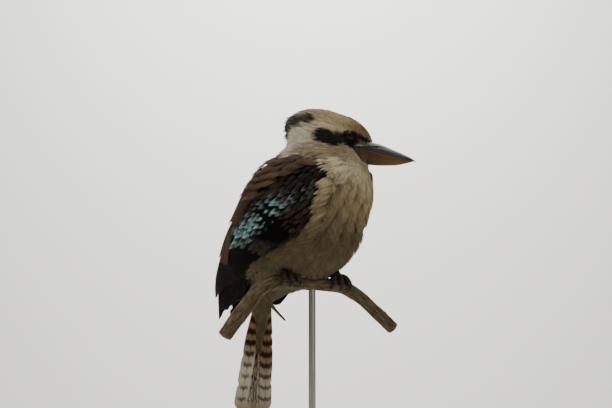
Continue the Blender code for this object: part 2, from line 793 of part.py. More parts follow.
def tail_vane(runs, middles, half, height, tilt, parent):
    """One feather of the tail as a thin closed plate."""
    t = np.array(VANE_RUNS)
    run = np.interp(t, [0, 1], runs)
    centre = np.interp(t, [0, 1], middles)
    half = half * np.array(VANE_WIDTHS)
    height = np.interp(t, [0, 1], height)
    thick = np.interp(t, [0, 1], VANE_THICKNESS) * 0.45
    across = np.stack([centre - half, centre + half], axis=1)
    under = np.stack([height - tilt * half, height + tilt * half], axis=1)
    run = np.repeat(run[:, None], 2, axis=1)
    inner = tail_point(run, across, under - thick[:, None])
    outer = tail_point(run, across, under + thick[:, None])
    points, faces = slab(inner, outer)
    return new_object("vane", points, faces, None, parent)


def build_tail(parent, finish, clearances):
    at = np.linspace(0, TAIL_CORE_LENGTH, 7)
    half_width = np.interp(at, [0, TAIL_CORE_LENGTH], TAIL_CORE_WIDTH)
    half_depth = np.interp(at, [0, TAIL_CORE_LENGTH], TAIL_CORE_DEPTH)
    around = np.linspace(0, 2 * np.pi, 12, endpoint=False)
    rings = [
        tail_point(run + 0 * around, wide * np.cos(around), deep * np.sin(around))
        for run, wide, deep in zip(at, half_width, half_depth)
    ]
    points, faces = loft(np.array(rings), tail_point(at[0], 0, 0), tail_point(at[-1], 0, 0))
    tail = new_object("tail", points, faces, finish, parent)
    draw = np.random.default_rng(SEED)
    vanes = []
    level = -TAIL_LAYER * (TAIL_PAIRS + 1) / 2
    for pair in range(TAIL_PAIRS):
        share = pair / (TAIL_PAIRS - 1)
        root_middle = np.interp(share, [0, 1], TAIL_ROOT_OFFSETS)
        tip_middle = np.interp(share, [0, 1], TAIL_TIP_OFFSETS)
        length = TAIL_LENGTH * (1 - 0.07 * share**2)
        for hand in (-1, 1):
            run = (34, length + draw.uniform(-1.5, 1.5))
            middles = (hand * root_middle, hand * tip_middle)
            height = (level * 0.6, level)
            vanes.append(tail_vane(run, middles, TAIL_FEATHER_WIDTH / 2, height, 0, parent))
            if pair < 2:
                level += TAIL_LAYER
        if pair >= 2:
            level += TAIL_LAYER
    for count, side, root, tip, spread, width, heights in TAIL_COVERTS:
        for share in np.linspace(-1, 1, count):
            runs = (root, tip - 8 * share**2 + draw.uniform(-2, 2))
            middles = (share * spread * 0.6, share * spread)
            rises = (side * heights[0], side * (heights[1] - 2 * share**2 + 0.4 * share))
            vanes.append(tail_vane(runs, middles, width / 2, rises, 0.08 * side, parent))
    combine(tail, vanes, "UNION", "MANIFOLD")
    combine(tail, clearances, "DIFFERENCE", keep=True)
    return tail


def crest_vane(along, across, length, width, lift, parent):
    """One crest feather: its root under the crown's surface, its tip standing off it."""
    t = np.array(VANE_RUNS)
    angle = across * CREST_DROP / 10
    middle = from_head((along, 0, 0))
    spoke = HEAD_TURN @ np.array([0, sin(radians(angle)), cos(radians(angle))])
    left = HEAD_TURN @ np.array([0, cos(radians(angle)), -sin(radians(angle))])
    reach = way_out(body_distance, middle[None], spoke[None], 60)[0]
    crown = middle + spoke * reach
    back = crown + HEAD_TURN @ np.array([-length, 0, 0])
    end = way_out(body_distance, (back - spoke * 40)[None], spoke[None], 80)[0] - 40
    tip = back + spoke * (end + lift)
    root = crown - spoke * 2.5
    centres = root + t[:, None] * (tip - root) + (np.sin(np.pi * t) * 1.2)[:, None] * spoke
    half = width / 2 * np.array([0.7, 1, 0.65, 0.2])
    thick = np.array([0.9, 0.8, 0.6, 0.5]) / 2
    edges = centres[:, None] + half[:, None, None] * np.array([[1], [-1]]) * left
    points, faces = slab(edges - thick[:, None, None] * spoke, edges + thick[:, None, None] * spoke)
    return new_object("vane", points, faces, None, parent)


def crest(parent):
    draw = np.random.default_rng(SEED)
    vanes = []
    for count, along, half_spread, length, width, lift in CREST_ROWS:
        for share in np.linspace(-1, 1, count):
            across = share * half_spread
            ahead = along + 4 * share**2 + draw.uniform(-1, 1)
            long = length * (1 - 0.15 * abs(share)) + draw.uniform(-1.5, 1.5)
            vanes.append(crest_vane(ahead, across, long, width, lift + draw.uniform(-0.8, 0.8), parent))
    return vanes


def turned(name, profile, sides, finish, parent=None):
    """A solid of revolution about +Z from (radius, height) pairs that run up its outside."""
    around = np.linspace(0, 2 * np.pi, sides, endpoint=False)
    rings = [
        np.stack([radius * np.cos(around), radius * np.sin(around), 0 * around + height], axis=-1)
        for radius, height in profile
    ]
    points, faces = loft(np.array(rings), (0, 0, profile[0][1]), (0, 0, profile[-1][1]))
    return new_object(name, points, faces, finish, parent)


def build_stand(bird, wood, steel):
    edge = BASE_EDGE
    radius = BASE_RADIUS
    top = BASE_THICKNESS
    base = turned(
        "stand_base",
        [(radius - edge, 0), (radius, edge), (radius, top - edge), (radius - edge, top)],
        40,
        wood,
    )
    foot = top + GAP
    rod = turned(
        "stand_rod",
        [
            (COLLAR_RADIUS, foot),
            (COLLAR_RADIUS, foot + COLLAR_HEIGHT - 1),
            (COLLAR_RADIUS - 1, foot + COLLAR_HEIGHT),
            (ROD_RADIUS, foot + COLLAR_HEIGHT + 1),
            (ROD_RADIUS, PERCH_HEIGHT),
        ],
        20,
        steel,
    )
    combine(rod, [perch_tube("rod_clearance", bird, grow=GAP)], "DIFFERENCE")
    return base, rod


def main():
    for thing in list(bpy.data.objects):
        bpy.data.objects.remove(thing)
    coat = material("breast_feather", (0.62, 0.56, 0.46), 0.9)
    crown = material("head_feather", (0.5, 0.42, 0.33), 0.9)
    flight = material("flight_feather", (0.06, 0.045, 0.035), 0.75)
    tail_band = material("tail_feather", (0.42, 0.2, 0.1), 0.8)
    dark_horn = material("upper_bill_horn", (0.03, 0.03, 0.032), 0.35)
    pale_horn = material("lower_bill_horn", (0.35, 0.22, 0.12), 0.4)
    iris = material("eye_gloss", (0.02, 0.012, 0.008), 0.08)
    scale = material("foot_scale", (0.05, 0.042, 0.035), 0.6)
    bark = material("bark", (0.2, 0.16, 0.12), 0.9)
    wood = material("stained_oak", (0.12, 0.06, 0.03), 0.45)
    steel = material("brushed_steel", (0.6, 0.6, 0.6), 0.3, 1.0)

    bird = bpy.data.objects.new("bird", None)
    bird.location = (0, 0, PERCH_HEIGHT * MM)
    bird.rotation_euler = (0, 0, radians(BODY_YAW))
    bpy.context.scene.collection.objects.link(bird)
    bpy.context.view_layer.update()

    perch_clearance = perch_tube("perch_clearance", bird, grow=GAP)
    torso_clearance = trunk_object("torso_clearance", bird, level=GAP)
    leg_clearances = leg_tubes(1, bird, GAP) + leg_tubes(-1, bird, GAP)
    wing_clearances = [wing_room("wing_clearance", hand, bird, GAP) for hand in (1, -1)]

    base_point, base_normal = neck_base_plane()
    top_point, top_normal = neck_top_plane()
    torso = trunk_object("torso", bird, coat)
    cut_flat(torso, base_point - base_normal * GAP / 2, base_normal)
    cutters = wing_clearances + leg_clearances + [perch_clearance]
    combine(torso, cutters, "DIFFERENCE", "MANIFOLD", keep=True)
    neck = trunk_object("neck", bird, coat)
    cut_flat(neck, base_point + base_normal * GAP / 2, -base_normal)
    cut_flat(neck, top_point - top_normal * GAP / 2, top_normal)
    combine(neck, wing_clearances, "DIFFERENCE", keep=True)
    build_head(bird, crown)
    build_bill(bird, dark_horn, pale_horn)
    for side, hand in (("left", 1), ("right", -1)):
        ellipsoid("eye_" + side, eye_place(hand), np.full(3, float(EYE_RADIUS)), eye_turn(hand), bird, iris, 7, 14)
        build_wing("wing_" + side, hand, bird, flight)
        build_leg("leg_" + side, hand, bird, scale, perch_clearance)
    build_tail(bird, tail_band, [torso_clearance])
    build_perch(bird, bark)
    build_stand(bird, wood, steel)

    for helper in [perch_clearance, torso_clearance] + wing_clearances + leg_clearances:
        bpy.data.objects.remove(helper)
    for thing in bpy.data.objects:
        if thing.type == "MESH":
            soften(thing)


main()
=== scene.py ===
# %% [markdown]
# # A laughing kookaburra as a life-size display model
# The model is a bird with soft plumage on a short cut branch, held up by a steel rod on a round wooden base.
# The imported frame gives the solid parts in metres, and everything made here sits on them.
# One smooth skin takes the place of torso, neck and head, and separate feathers grow over it.

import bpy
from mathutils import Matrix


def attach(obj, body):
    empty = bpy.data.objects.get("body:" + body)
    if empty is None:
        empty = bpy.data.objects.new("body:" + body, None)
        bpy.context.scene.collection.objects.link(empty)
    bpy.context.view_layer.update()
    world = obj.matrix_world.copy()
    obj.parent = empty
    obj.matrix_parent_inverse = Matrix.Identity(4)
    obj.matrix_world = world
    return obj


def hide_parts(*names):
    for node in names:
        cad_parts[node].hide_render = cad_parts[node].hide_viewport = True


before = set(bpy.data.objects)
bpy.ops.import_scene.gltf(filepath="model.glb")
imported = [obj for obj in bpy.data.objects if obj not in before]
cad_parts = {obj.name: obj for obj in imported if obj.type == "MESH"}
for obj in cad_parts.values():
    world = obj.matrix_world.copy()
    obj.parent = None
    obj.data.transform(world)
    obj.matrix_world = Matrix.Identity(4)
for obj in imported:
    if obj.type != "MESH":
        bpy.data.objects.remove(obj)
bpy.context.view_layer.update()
print("nodes:", ", ".join(sorted(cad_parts)))

# %% Tools
from collections import namedtuple
from math import cos, radians, sin

import bpy
import numpy as np
from mathutils import Vector

# %% [markdown]
# ## Camera
# The photograph looks a little up at the bird from about its tail's height, through a long lens.
# A real lens could be measured from two known depths, but the bird alone gives only its angle, so the
# distance is a usual one for a small bird and the lens is set from it: one millimetre is one pixel there.

# %% Make the camera
PICTURE_WIDTH = 612
SENSOR = 36
CAMERA_DISTANCE = 1.2
CAMERA_RISE = 10.5
CAMERA_TARGET = Vector((-0.006, 0, 0.2383))

rise = radians(CAMERA_RISE)
ahead = Vector((0, cos(rise), sin(rise)))
lens_data = bpy.data.cameras.new("camera")
lens_data.sensor_width = SENSOR
lens_data.lens = SENSOR * CAMERA_DISTANCE * 1000 / PICTURE_WIDTH
lens_data.clip_start = 0.01
lens_data.clip_end = 20
camera = bpy.data.objects.new("camera", lens_data)
camera.location = CAMERA_TARGET - ahead * CAMERA_DISTANCE
camera.rotation_euler = ahead.to_track_quat("-Z", "Y").to_euler()
bpy.context.scene.collection.objects.link(camera)
bpy.context.scene.camera = camera
print("camera height in metres:", round(camera.location.z, 4), "lens:", round(lens_data.lens, 2))

# %% [markdown]
# ## Colours and node trees
# Painters and web pages name a colour by its sRGB hex value, but a renderer adds light in linear numbers.
# One function turns the one into the other. One more adds a node to a tree with its settings and links,
# and short ones after it add what several materials share, such as stretched noise or fine relief.


# %% Colour and node helpers
def from_hex(code):
    """An sRGB hex colour as linear red, green and blue."""
    srgb = np.array([int(code[i : i + 2], 16) for i in (1, 3, 5)]) / 255
    return np.where(srgb <= 0.04045, srgb / 12.92, ((srgb + 0.055) / 1.055) ** 2.4)


def rgba(code):
    return (*from_hex(code), 1.0)


def add_node(tree, kind, settings=None, links=None):
    """A node of that kind. Settings are its own properties or input values, and links feed its inputs."""
    node = tree.nodes.new("ShaderNode" + kind)
    for name, value in (settings or {}).items():
        if isinstance(name, str) and hasattr(node, name):
            setattr(node, name, value)
        else:
            node.inputs[name].default_value = value
    for name, source in (links or {}).items():
        tree.links.new(source, node.inputs[name])
    return node


def new_material(name, **values):
    """A material, its node tree and its Principled shader with some of its inputs set."""
    made = bpy.data.materials.new(name)
    made.use_nodes = True
    shader = made.node_tree.nodes["Principled BSDF"]
    for input_name, value in values.items():
        shader.inputs[input_name.replace("_", " ")].default_value = value
    return made, made.node_tree, shader


def map_places(tree, map_name):
    return add_node(tree, "UVMap", {"uv_map": map_name}).outputs["UV"]


def object_places(tree):
    return add_node(tree, "TexCoord").outputs["Object"]


def noise(tree, places, scale, detail):
    node = add_node(tree, "TexNoise", {"Scale": scale, "Detail": detail}, {"Vector": places})
    return node.outputs["Fac"]


def stretched_noise(tree, places, scale, detail):
    """Noise with another number of cells to each unit of the three directions."""
    stretched = add_node(tree, "Mapping", {"Scale": scale}, {"Vector": places})
    return noise(tree, stretched.outputs["Vector"], 1.0, detail)


def scaled_sum(tree, value, factor, added):
    """The value times a factor, and another value added."""
    settings = {"operation": "MULTIPLY_ADD", 1: factor}
    return add_node(tree, "Math", settings, {0: value, 2: added}).outputs["Value"]


def ranged(tree, value, settings):
    """The value carried over from one range to another."""
    return add_node(tree, "MapRange", settings, {"Value": value}).outputs["Result"]


def ramp_of(tree, source, stops):
    """A colour ramp with named hex colours at its stops."""
    node = add_node(tree, "ValToRGB", links={"Fac": source})
    elements = node.color_ramp.elements
    for place, code in stops[1:-1]:
        elements.new(place).color = rgba(code)
    elements[0].position, elements[0].color = stops[0][0], rgba(stops[0][1])
    elements[-1].position, elements[-1].color = stops[-1][0], rgba(stops[-1][1])
    return node.outputs["Color"]


def give_relief(tree, shader, height, strength, distance):
    """Fine relief that the light shows and the mesh doesn't have."""
    relief = add_node(tree, "Bump", {"Strength": strength, "Distance": distance}, {"Height": height})
    tree.links.new(relief.outputs["Normal"], shader.inputs["Normal"])


def give_painted(tree, shader, shade):
    """The colour that is painted on the mesh, times a shade."""
    painted = add_node(tree, "Attribute", {"attribute_name": "plumage"})
    tinted = add_node(
        tree,
        "Mix",
        {"data_type": "RGBA", "blend_type": "MULTIPLY", 0: 1.0},
        {6: painted.outputs["Color"], 7: shade},
    )
    tree.links.new(tinted.outputs[2], shader.inputs["Base Color"])

# %% [markdown]
# ## Plumage material
# A small body feather is keratin: soft barbs with no gloss, which scatter light at their edges like velvet.
# The colour of each barb is painted on its mesh from the bird's markings, so that feathers and skin agree,
# and the nodes add the fine unevenness of worn feather tips. A picture texture could do it, but it would
# smear over thousands of loose barbs.

# %% Make the plumage material
KERATIN_IOR = 1.54
BARB_MOTTLE_MM = 1.6

plumage, tree, shader = new_material(
    "plumage_soft_barbs",
    Roughness=0.82,
    IOR=KERATIN_IOR,
    Specular_IOR_Level=0.14,
    Sheen_Weight=0.05,
    Sheen_Roughness=0.5,
)
mottle = noise(tree, object_places(tree), 1000 / BARB_MOTTLE_MM, 3.0)
give_painted(tree, shader, ranged(tree, mottle, {"To Min": 0.82, "To Max": 1.16}))
print("material:", plumage.name)

# %% [markdown]
# ## Flight feather material
# A flight feather's barbs hook together into a firm vane with a faint satin sheen, and its shaft is smooth.
# The barbs are about 0.3 mm apart on the real bird, which is too fine to show here, so they are drawn
# 0.9 mm apart. They slant from the shaft towards the tip, so the pattern reads a map with the
# distance from the shaft across it and the distance along the shaft up it, both in millimetres.

# %% Make the flight feather material
BARB_SPACING_MM = 0.9
BARB_SLANT = 1.3

vane_finish, tree, shader = new_material(
    "flight_feather_vane", Roughness=0.74, IOR=KERATIN_IOR, Specular_IOR_Level=0.06
)
parts = add_node(tree, "SeparateXYZ", links={"Vector": map_places(tree, "vane")})
off_shaft = add_node(tree, "Math", {"operation": "ABSOLUTE"}, {0: parts.outputs["X"]})
slanted = scaled_sum(tree, off_shaft.outputs["Value"], -BARB_SLANT, parts.outputs["Y"])
phase = add_node(tree, "Math", {"operation": "MULTIPLY", 1: 2 * np.pi / BARB_SPACING_MM}, {0: slanted})
ridges = add_node(tree, "Math", {"operation": "SINE"}, {0: phase.outputs["Value"]}).outputs["Value"]
# The colour also dips between the ridges: painted shade in the grooves, besides the relief below
give_painted(tree, shader, ranged(tree, ridges, {"From Min": -1.0, "To Min": 0.9, "To Max": 1.06}))
give_relief(tree, shader, ridges, 0.2, 0.0002)
print("material:", vane_finish.name)

# %% [markdown]
# ## Bill horn
# The bill is bone under a sheath of keratin that grows forward and wears smooth, with fine growth streaks
# along it. The upper half is blackish grey, and the lower half is the colour of honey horn, darker at its
# base. Streaks come from noise that is stretched along the bill, read from a map of the bill's own length.


# %% Make the two horns
def horn_material(name, stops, roughness):
    made, tree, shader = new_material(name, IOR=KERATIN_IOR, Specular_IOR_Level=0.35)
    places = map_places(tree, "bill")
    parts = add_node(tree, "SeparateXYZ", links={"Vector": places})
    streaks = stretched_noise(tree, places, (9.0, 26.0, 1.0), 5.0)
    colour = ramp_of(tree, scaled_sum(tree, streaks, 0.3, parts.outputs["X"]), stops)
    worn = ranged(tree, streaks, {"To Min": roughness - 0.1, "To Max": roughness + 0.14})
    tree.links.new(colour, shader.inputs["Base Color"])
    tree.links.new(worn, shader.inputs["Roughness"])
    give_relief(tree, shader, streaks, 0.3, 0.0003)
    return made


DARK_STOPS = [(0.1, "#151413"), (0.5, "#2A2A2D"), (0.95, "#343335"), (1.2, "#1E1A18")]
HONEY_STOPS = [(0.0, "#1E140D"), (0.2, "#382415"), (0.46, "#52361C"), (0.85, "#6B4B24"), (1.15, "#54401F")]
dark_horn = horn_material("bill_horn_dark", DARK_STOPS, 0.5)
pale_horn = horn_material("bill_horn_honey", HONEY_STOPS, 0.6)
print("materials:", dark_horn.name, pale_horn.name)

# %% [markdown]
# ## Eye, lids, scales and claws
# A museum eye is blown glass with the iris painted behind it: a dark brown iris with a wide black pupil.
# Its wet look comes from the clear coat, so one rounded form with a coat is enough, and it bakes well.
# The lids are bare dark skin, dry and finely creased. Toes are covered with small overlapping scales of
# keratin, and the claws are denser keratin, polished by the bark.

# %% Make the eye, lid, scale and claw materials
GLASS_IOR = 1.52
SKIN_CREASE_MM = 0.7
SCALE_GRAIN_MM = 0.8
IRIS_STOPS = [(0.4, "#030202"), (0.45, "#160C07"), (0.62, "#26150B"), (0.74, "#100906"), (0.82, "#050404")]

eye_glass, tree, shader = new_material(
    "glass_eye_brown",
    Roughness=0.6,
    Specular_IOR_Level=0.1,
    Coat_Weight=0.25,
    Coat_Roughness=0.02,
    Coat_IOR=GLASS_IOR,
)
places = map_places(tree, "eye")
parts = add_node(tree, "SeparateXYZ", links={"Vector": places})
fibres = stretched_noise(tree, places, (2.5, 60.0, 1.0), 3.0)
iris = ramp_of(tree, scaled_sum(tree, fibres, 0.1, parts.outputs["X"]), IRIS_STOPS)
tree.links.new(iris, shader.inputs["Base Color"])


def grained_material(name, low, high, grain_mm, roughness, bump, gloss=0.4):
    """A finish with fine even grain: its two colours, the grain's real size, roughness and bump strength."""
    made, tree, shader = new_material(name, IOR=KERATIN_IOR, Specular_IOR_Level=gloss)
    places = object_places(tree)
    grain = add_node(tree, "TexVoronoi", {"Scale": 1000 / grain_mm}, {"Vector": places})
    cloud = noise(tree, places, 250 / grain_mm, 4.0)
    colour = ramp_of(tree, cloud, [(0.35, low), (0.68, high)])
    rough = ranged(tree, cloud, {"To Min": roughness - 0.08, "To Max": roughness + 0.12})
    tree.links.new(colour, shader.inputs["Base Color"])
    tree.links.new(rough, shader.inputs["Roughness"])
    give_relief(tree, shader, grain.outputs["Distance"], bump, 0.0002)
    return made


lid_skin = grained_material("lid_skin_creased", "#050404", "#120E0C", SKIN_CREASE_MM, 0.85, 0.5, 0.12)
toe_scale = grained_material("toe_scale_keratin", "#1D1814", "#43382E", SCALE_GRAIN_MM, 0.52, 0.45)
claw_horn = grained_material("claw_keratin_polished", "#0B0909", "#231B17", SCALE_GRAIN_MM * 2, 0.28, 0.1)
print("materials:", eye_glass.name, lid_skin.name, toe_scale.name, claw_horn.name)

# %% [markdown]
# ## Bark, oak and steel
# The perch is a weathered branch: thin grey-brown bark with cracks along it and small dark warts.
# The base is oak, turned on a lathe, stained dark and waxed: its grain runs straight across the disc.
# The rod is drawn stainless steel, brushed along its length, so its gloss is soft and streaked.

# %% Make the bark, oak and steel materials
BARK_CRACK_MM = 2.2
WART_MM = 5.0
OAK_GRAIN_MM = 2.5
BRUSH_MM = 0.5

bark, tree, shader = new_material("bark_weathered", Roughness=0.88, Specular_IOR_Level=0.25)
places = map_places(tree, "bark")
cracks = stretched_noise(tree, places, (0.22 / BARK_CRACK_MM, 1 / BARK_CRACK_MM, 1.0), 8.0)
warts = add_node(tree, "TexVoronoi", {"Scale": 1 / WART_MM}, {"Vector": places})
wart = ranged(tree, warts.outputs["Distance"], {"From Min": 0.02, "From Max": 0.16})
colour = ramp_of(tree, cracks, [(0.3, "#302619"), (0.45, "#4E4231"), (0.58, "#62553F"), (0.72, "#7A6C56")])
spotted = add_node(tree, "Mix", {"data_type": "RGBA", 6: rgba("#2B211A")}, {0: wart, 7: colour})
tree.links.new(spotted.outputs[2], shader.inputs["Base Color"])
give_relief(tree, shader, cracks, 0.7, 0.0008)

oak, tree, shader = new_material("oak_stained_waxed", Roughness=0.4, Coat_Weight=0.25, Coat_Roughness=0.25)
grain = stretched_noise(tree, object_places(tree), (40.0, 1000 / OAK_GRAIN_MM, 200.0), 7.0)
colour = ramp_of(tree, grain, [(0.3, "#2A170C"), (0.5, "#4A2C18"), (0.7, "#6B4528")])
tree.links.new(colour, shader.inputs["Base Color"])
give_relief(tree, shader, grain, 0.25, 0.0003)

steel, tree, shader = new_material("stainless_steel_brushed", Metallic=1.0)
brushing = stretched_noise(tree, object_places(tree), (1000 / BRUSH_MM, 1000 / BRUSH_MM, 30.0), 4.0)
colour = ramp_of(tree, brushing, [(0.3, "#A8A6A2"), (0.7, "#C9C7C3")])
tree.links.new(colour, shader.inputs["Base Color"])
tree.links.new(ranged(tree, brushing, {"To Min": 0.24, "To Max": 0.42}), shader.inputs["Roughness"])
give_relief(tree, shader, brushing, 0.12, 0.0001)
print("materials:", bark.name, oak.name, steel.name)

# %% [markdown]
# ## The bird's shape
# The frame's solids came from rounded masses that flow into each other: back, breast, belly, rump and neck,
# and skull, brow, lores, cheeks and chin. The same masses are repeated here in millimetres, in the bird's own
# frame (breast to +X, left to +Y), because a smooth field gives more than a mesh can: the skin at any depth,
# the way out from it, and how far along it each feather lies.

# %% The masses and the field around them
MM = 0.001
PERCH_HEIGHT = 158
BODY_YAW = -40
HEAD_YAW = 20
HEAD_DIP = 17
HEAD_CENTRE = np.array([25.0, 0, 142])
SPINE_PITCH = 62
SPINE_POINT = np.array([-4.0, 0, 76])

Mass = namedtuple("Mass", "centre radii pitch blend")
TRUNK = {
    "back": Mass((-20, 0, 68), (81, 53, 60), 54, 16),
    "breast": Mass((14, 0, 91), (50, 47, 53), 75, 14),
    "belly": Mass((4, 0, 50), (50, 45, 42), 30, 14),
    "rump": Mass((-60, 0, 36), (46, 36, 32), 62, 16),
    "vent": Mass((-62, 0, 10), (26, 24, 20), 80, 10),
    "neck": Mass((14, 0, 124), (39, 34, 34), 80, 16),
}
HEAD = {
    "skull": Mass((-9, 0, 3), (41, 29, 26), -3, 10),
    "forehead": Mass((17, 0, 3), (28, 21, 21.5), -22, 8),
    "lores": Mass((24, 0, -5), (22, 15, 13), -5, 8),
    "left cheek": Mass((-1, 15, -9), (26, 13, 17), 0, 8),
    "right cheek": Mass((-1, -15, -9), (26, 13, 17), 0, 8),
    "chin": Mass((14, 0, -18), (24, 18, 12), 0, 10),
}


# %% Turns and frames
def turn_y(angle):
    """Turns +X towards -Z, as a bow does."""
    a = radians(angle)
    return np.array([[cos(a), 0, sin(a)], [0, 1, 0], [-sin(a), 0, cos(a)]])


def turn_z(angle):
    a = radians(angle)
    return np.array([[cos(a), -sin(a), 0], [sin(a), cos(a), 0], [0, 0, 1]])


HEAD_TURN = turn_z(HEAD_YAW) @ turn_y(HEAD_DIP)
SPINE = np.array([cos(radians(SPINE_PITCH)), 0, sin(radians(SPINE_PITCH))])
BACKWARD = np.array([-SPINE[2], 0, SPINE[0]])


def from_head(points):
    return np.asarray(points, float) @ HEAD_TURN.T + HEAD_CENTRE


def to_head(points):
    return (np.asarray(points, float) - HEAD_CENTRE) @ HEAD_TURN


def to_left(head):
    """Places in the head's frame, with those of its right side mirrored to its left."""
    return head * [1, 0, 1] + np.abs(head) * [0, 1, 0]


def to_trunk(points):
    """How far points lie up along the spine, and how far behind it."""
    off = points - SPINE_POINT
    return off @ SPINE, off @ BACKWARD


def to_world(points):
    """Millimetres in the bird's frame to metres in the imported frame."""
    return (np.asarray(points, float) @ turn_z(BODY_YAW).T + (0, 0, PERCH_HEIGHT)) * MM


# %% Curves, distances and normals
def stacked(*parts):
    """Arrays of numbers as one array, with a last axis that holds a number of each."""
    return np.stack(np.broadcast_arrays(*parts), axis=-1)


def unit(vectors):
    return vectors / np.maximum(np.linalg.norm(vectors, axis=-1, keepdims=True), 1e-9)


def smooth(values, low, high):
    """0 below low, 1 above high and an even S between. low may be the greater."""
    t = np.clip((np.asarray(values, float) - low) / (high - low), 0, 1)
    return t * t * (3 - 2 * t)


def curve(at, stations, values):
    """A smooth curve through the named values."""
    at = np.asarray(at, float)
    x = np.asarray(stations, float)
    y = np.asarray(values, float)
    slopes = np.gradient(y, x, axis=0)
    i = np.clip(np.searchsorted(x, at, side="right") - 1, 0, len(x) - 2)
    step = x[i + 1] - x[i]
    t = (at - x[i]) / step
    if y.ndim > 1:
        step = step[..., None]
        t = t[..., None]
    return (
        (2 * t**3 - 3 * t**2 + 1) * y[i]
        + (t**3 - 2 * t**2 + t) * step * slopes[i]
        + (3 * t**2 - 2 * t**3) * y[i + 1]
        + (t**3 - t**2) * step * slopes[i + 1]
    )


def mass_distance(points, centre, radii, turn):
    scaled = (points - centre) @ turn / radii
    near = np.linalg.norm(scaled, axis=-1)
    slope = np.linalg.norm(scaled / radii, axis=-1)
    return near * (near - 1) / np.maximum(slope, 1e-9)


def blended(first, second, width):
    share = np.clip(0.5 + 0.5 * (second - first) / width, 0, 1)
    return second * (1 - share) + first * share - width * share * (1 - share)


def body_distance(points):
    """How far points lie outside the plumage's surface."""
    found = np.full(points.shape[:-1], 1e3)
    for mass in TRUNK.values():
        there = mass_distance(points, mass.centre, mass.radii, turn_y(-mass.pitch))
        found = blended(found, there, mass.blend)
    for mass in HEAD.values():
        there = mass_distance(points, from_head(mass.centre), mass.radii, HEAD_TURN @ turn_y(-mass.pitch))
        found = blended(found, there, mass.blend)
    return found


def way_out(distance, origins, directions, reach, steps=40, halvings=16):
    """The run along each direction from its origin to where the distance first passes zero."""
    runs = np.linspace(0, reach, steps)
    found = np.full(origins.shape[:-1], float(reach))
    open_rays = np.ones(origins.shape[:-1], bool)
    for near, far in zip(runs[:-1], runs[1:]):
        outside = distance(origins + far * directions) > 0
        found = np.where(open_rays & outside, near, found)
        open_rays &= ~outside
    low = found
    high = found + runs[1]
    for _ in range(halvings):
        middle = (low + high) / 2
        outside = distance(origins + middle[..., None] * directions) > 0
        high = np.where(outside, middle, high)
        low = np.where(outside, low, middle)
    return low


def normals_of(distance, points, step=0.5):
    parts = [distance(points + step * axis) - distance(points - step * axis) for axis in np.eye(3)]
    return unit(np.stack(parts, axis=-1))

# %% [markdown]
# ## Building meshes from arrays
# A coat of feathers has about a million small triangles. Modelling tools or modifiers would be slow for that,
# and particle hair doesn't export, so each mesh is written straight from arrays of points and triangles.


# %% Mesh helpers
def make_piece(name, points, faces, finish, colours=None, maps=None):
    """A closed mesh in the bird's frame, with a colour for each point and maps with a place for each point.
    Its triangles are turned so that they face outwards, where the volume that they enclose is above 0."""
    points = to_world(points)
    faces = np.asarray(faces, np.int32)
    a, b, c = np.moveaxis(points[faces] - points.mean(axis=0), 1, 0)
    if (np.cross(a, b) * c).sum() < 0:
        faces = faces[:, ::-1]
    points = points.astype(np.float32)
    mesh = bpy.data.meshes.new(name)
    mesh.vertices.add(len(points))
    mesh.vertices.foreach_set("co", points.ravel())
    mesh.loops.add(faces.size)
    mesh.loops.foreach_set("vertex_index", faces.ravel())
    mesh.polygons.add(len(faces))
    mesh.polygons.foreach_set("loop_start", np.arange(0, faces.size, faces.shape[1], dtype=np.int32))
    mesh.update(calc_edges=True)
    if colours is not None:
        painted = np.ones((len(points), 4), np.float32)
        painted[:, :3] = np.clip(colours, 0, 1)
        mesh.attributes.new("plumage", "FLOAT_COLOR", "POINT").data.foreach_set("color", painted.ravel())
    for map_name, places in (maps or {}).items():
        layer = mesh.uv_layers.new(name=map_name)
        layer.data.foreach_set("uv", places.astype(np.float32)[faces.ravel()].ravel())
    mesh.materials.append(finish)
    mesh.shade_smooth()
    made = bpy.data.objects.new(name, mesh)
    bpy.context.scene.collection.objects.link(made)
    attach(made, "root")
    return made


def grid_faces(rows, columns, around=False):
    """Quads of a grid of points, joined up round its columns where asked."""
    i, j = np.meshgrid(np.arange(rows - 1), np.arange(columns if around else columns - 1), indexing="ij")
    k = (j + 1) % columns
    quads = stacked(i, i, i + 1, i + 1) * columns + stacked(j, k, k, j)
    return quads.reshape(-1, 4)


def halved(quads):
    """Each quad as two triangles."""
    return np.concatenate([quads[:, [0, 1, 2]], quads[:, [0, 2, 3]]])


def rim_of(rows, columns):
    """The numbers of a grid's border points, once round."""
    rim = list(range(columns)) + [i * columns + columns - 1 for i in range(1, rows)]
    rim += [(rows - 1) * columns + j for j in range(columns - 2, -1, -1)]
    return np.array(rim + [i * columns for i in range(rows - 2, 0, -1)])


def plate_faces(rows, columns):
    """Triangles of a closed plate: a grid of points, the same grid behind it, and walls between them."""
    size = rows * columns
    quads = grid_faces(rows, columns)
    rim = rim_of(rows, columns)
    after = np.roll(rim, -1)
    walls = stacked(rim, rim + size, after + size, after)
    return np.concatenate([halved(quads), halved(quads[:, ::-1]) + size, halved(walls)])


def circle_angles(count):
    return np.linspace(0, 2 * np.pi, count, endpoint=False)


def lengths_along(line):
    """How far each point of a line is from its start."""
    return np.concatenate([[0], np.cumsum(np.linalg.norm(np.diff(line, axis=0), axis=-1))])


def closed_rings(rings, first, last):
    """Points and triangles of a closed skin over rings (count, sides, 3), ended in two points."""
    count, sides = rings.shape[:2]
    points = np.concatenate([rings.reshape(-1, 3), [first, last]])
    j = np.arange(sides)
    k = (j + 1) % sides
    start = stacked(0 * j + count * sides, k, j)
    end = stacked(0 * j + count * sides + 1, (count - 1) * sides + j, (count - 1) * sides + k)
    return points, np.concatenate([halved(grid_faces(count, sides, True)), start, end])


def ring_piece(name, rings, first, last, finish):
    """A piece over closed rings, with no colours or maps of its own."""
    points, faces = closed_rings(rings, first, last)
    return make_piece(name, points, faces, finish)


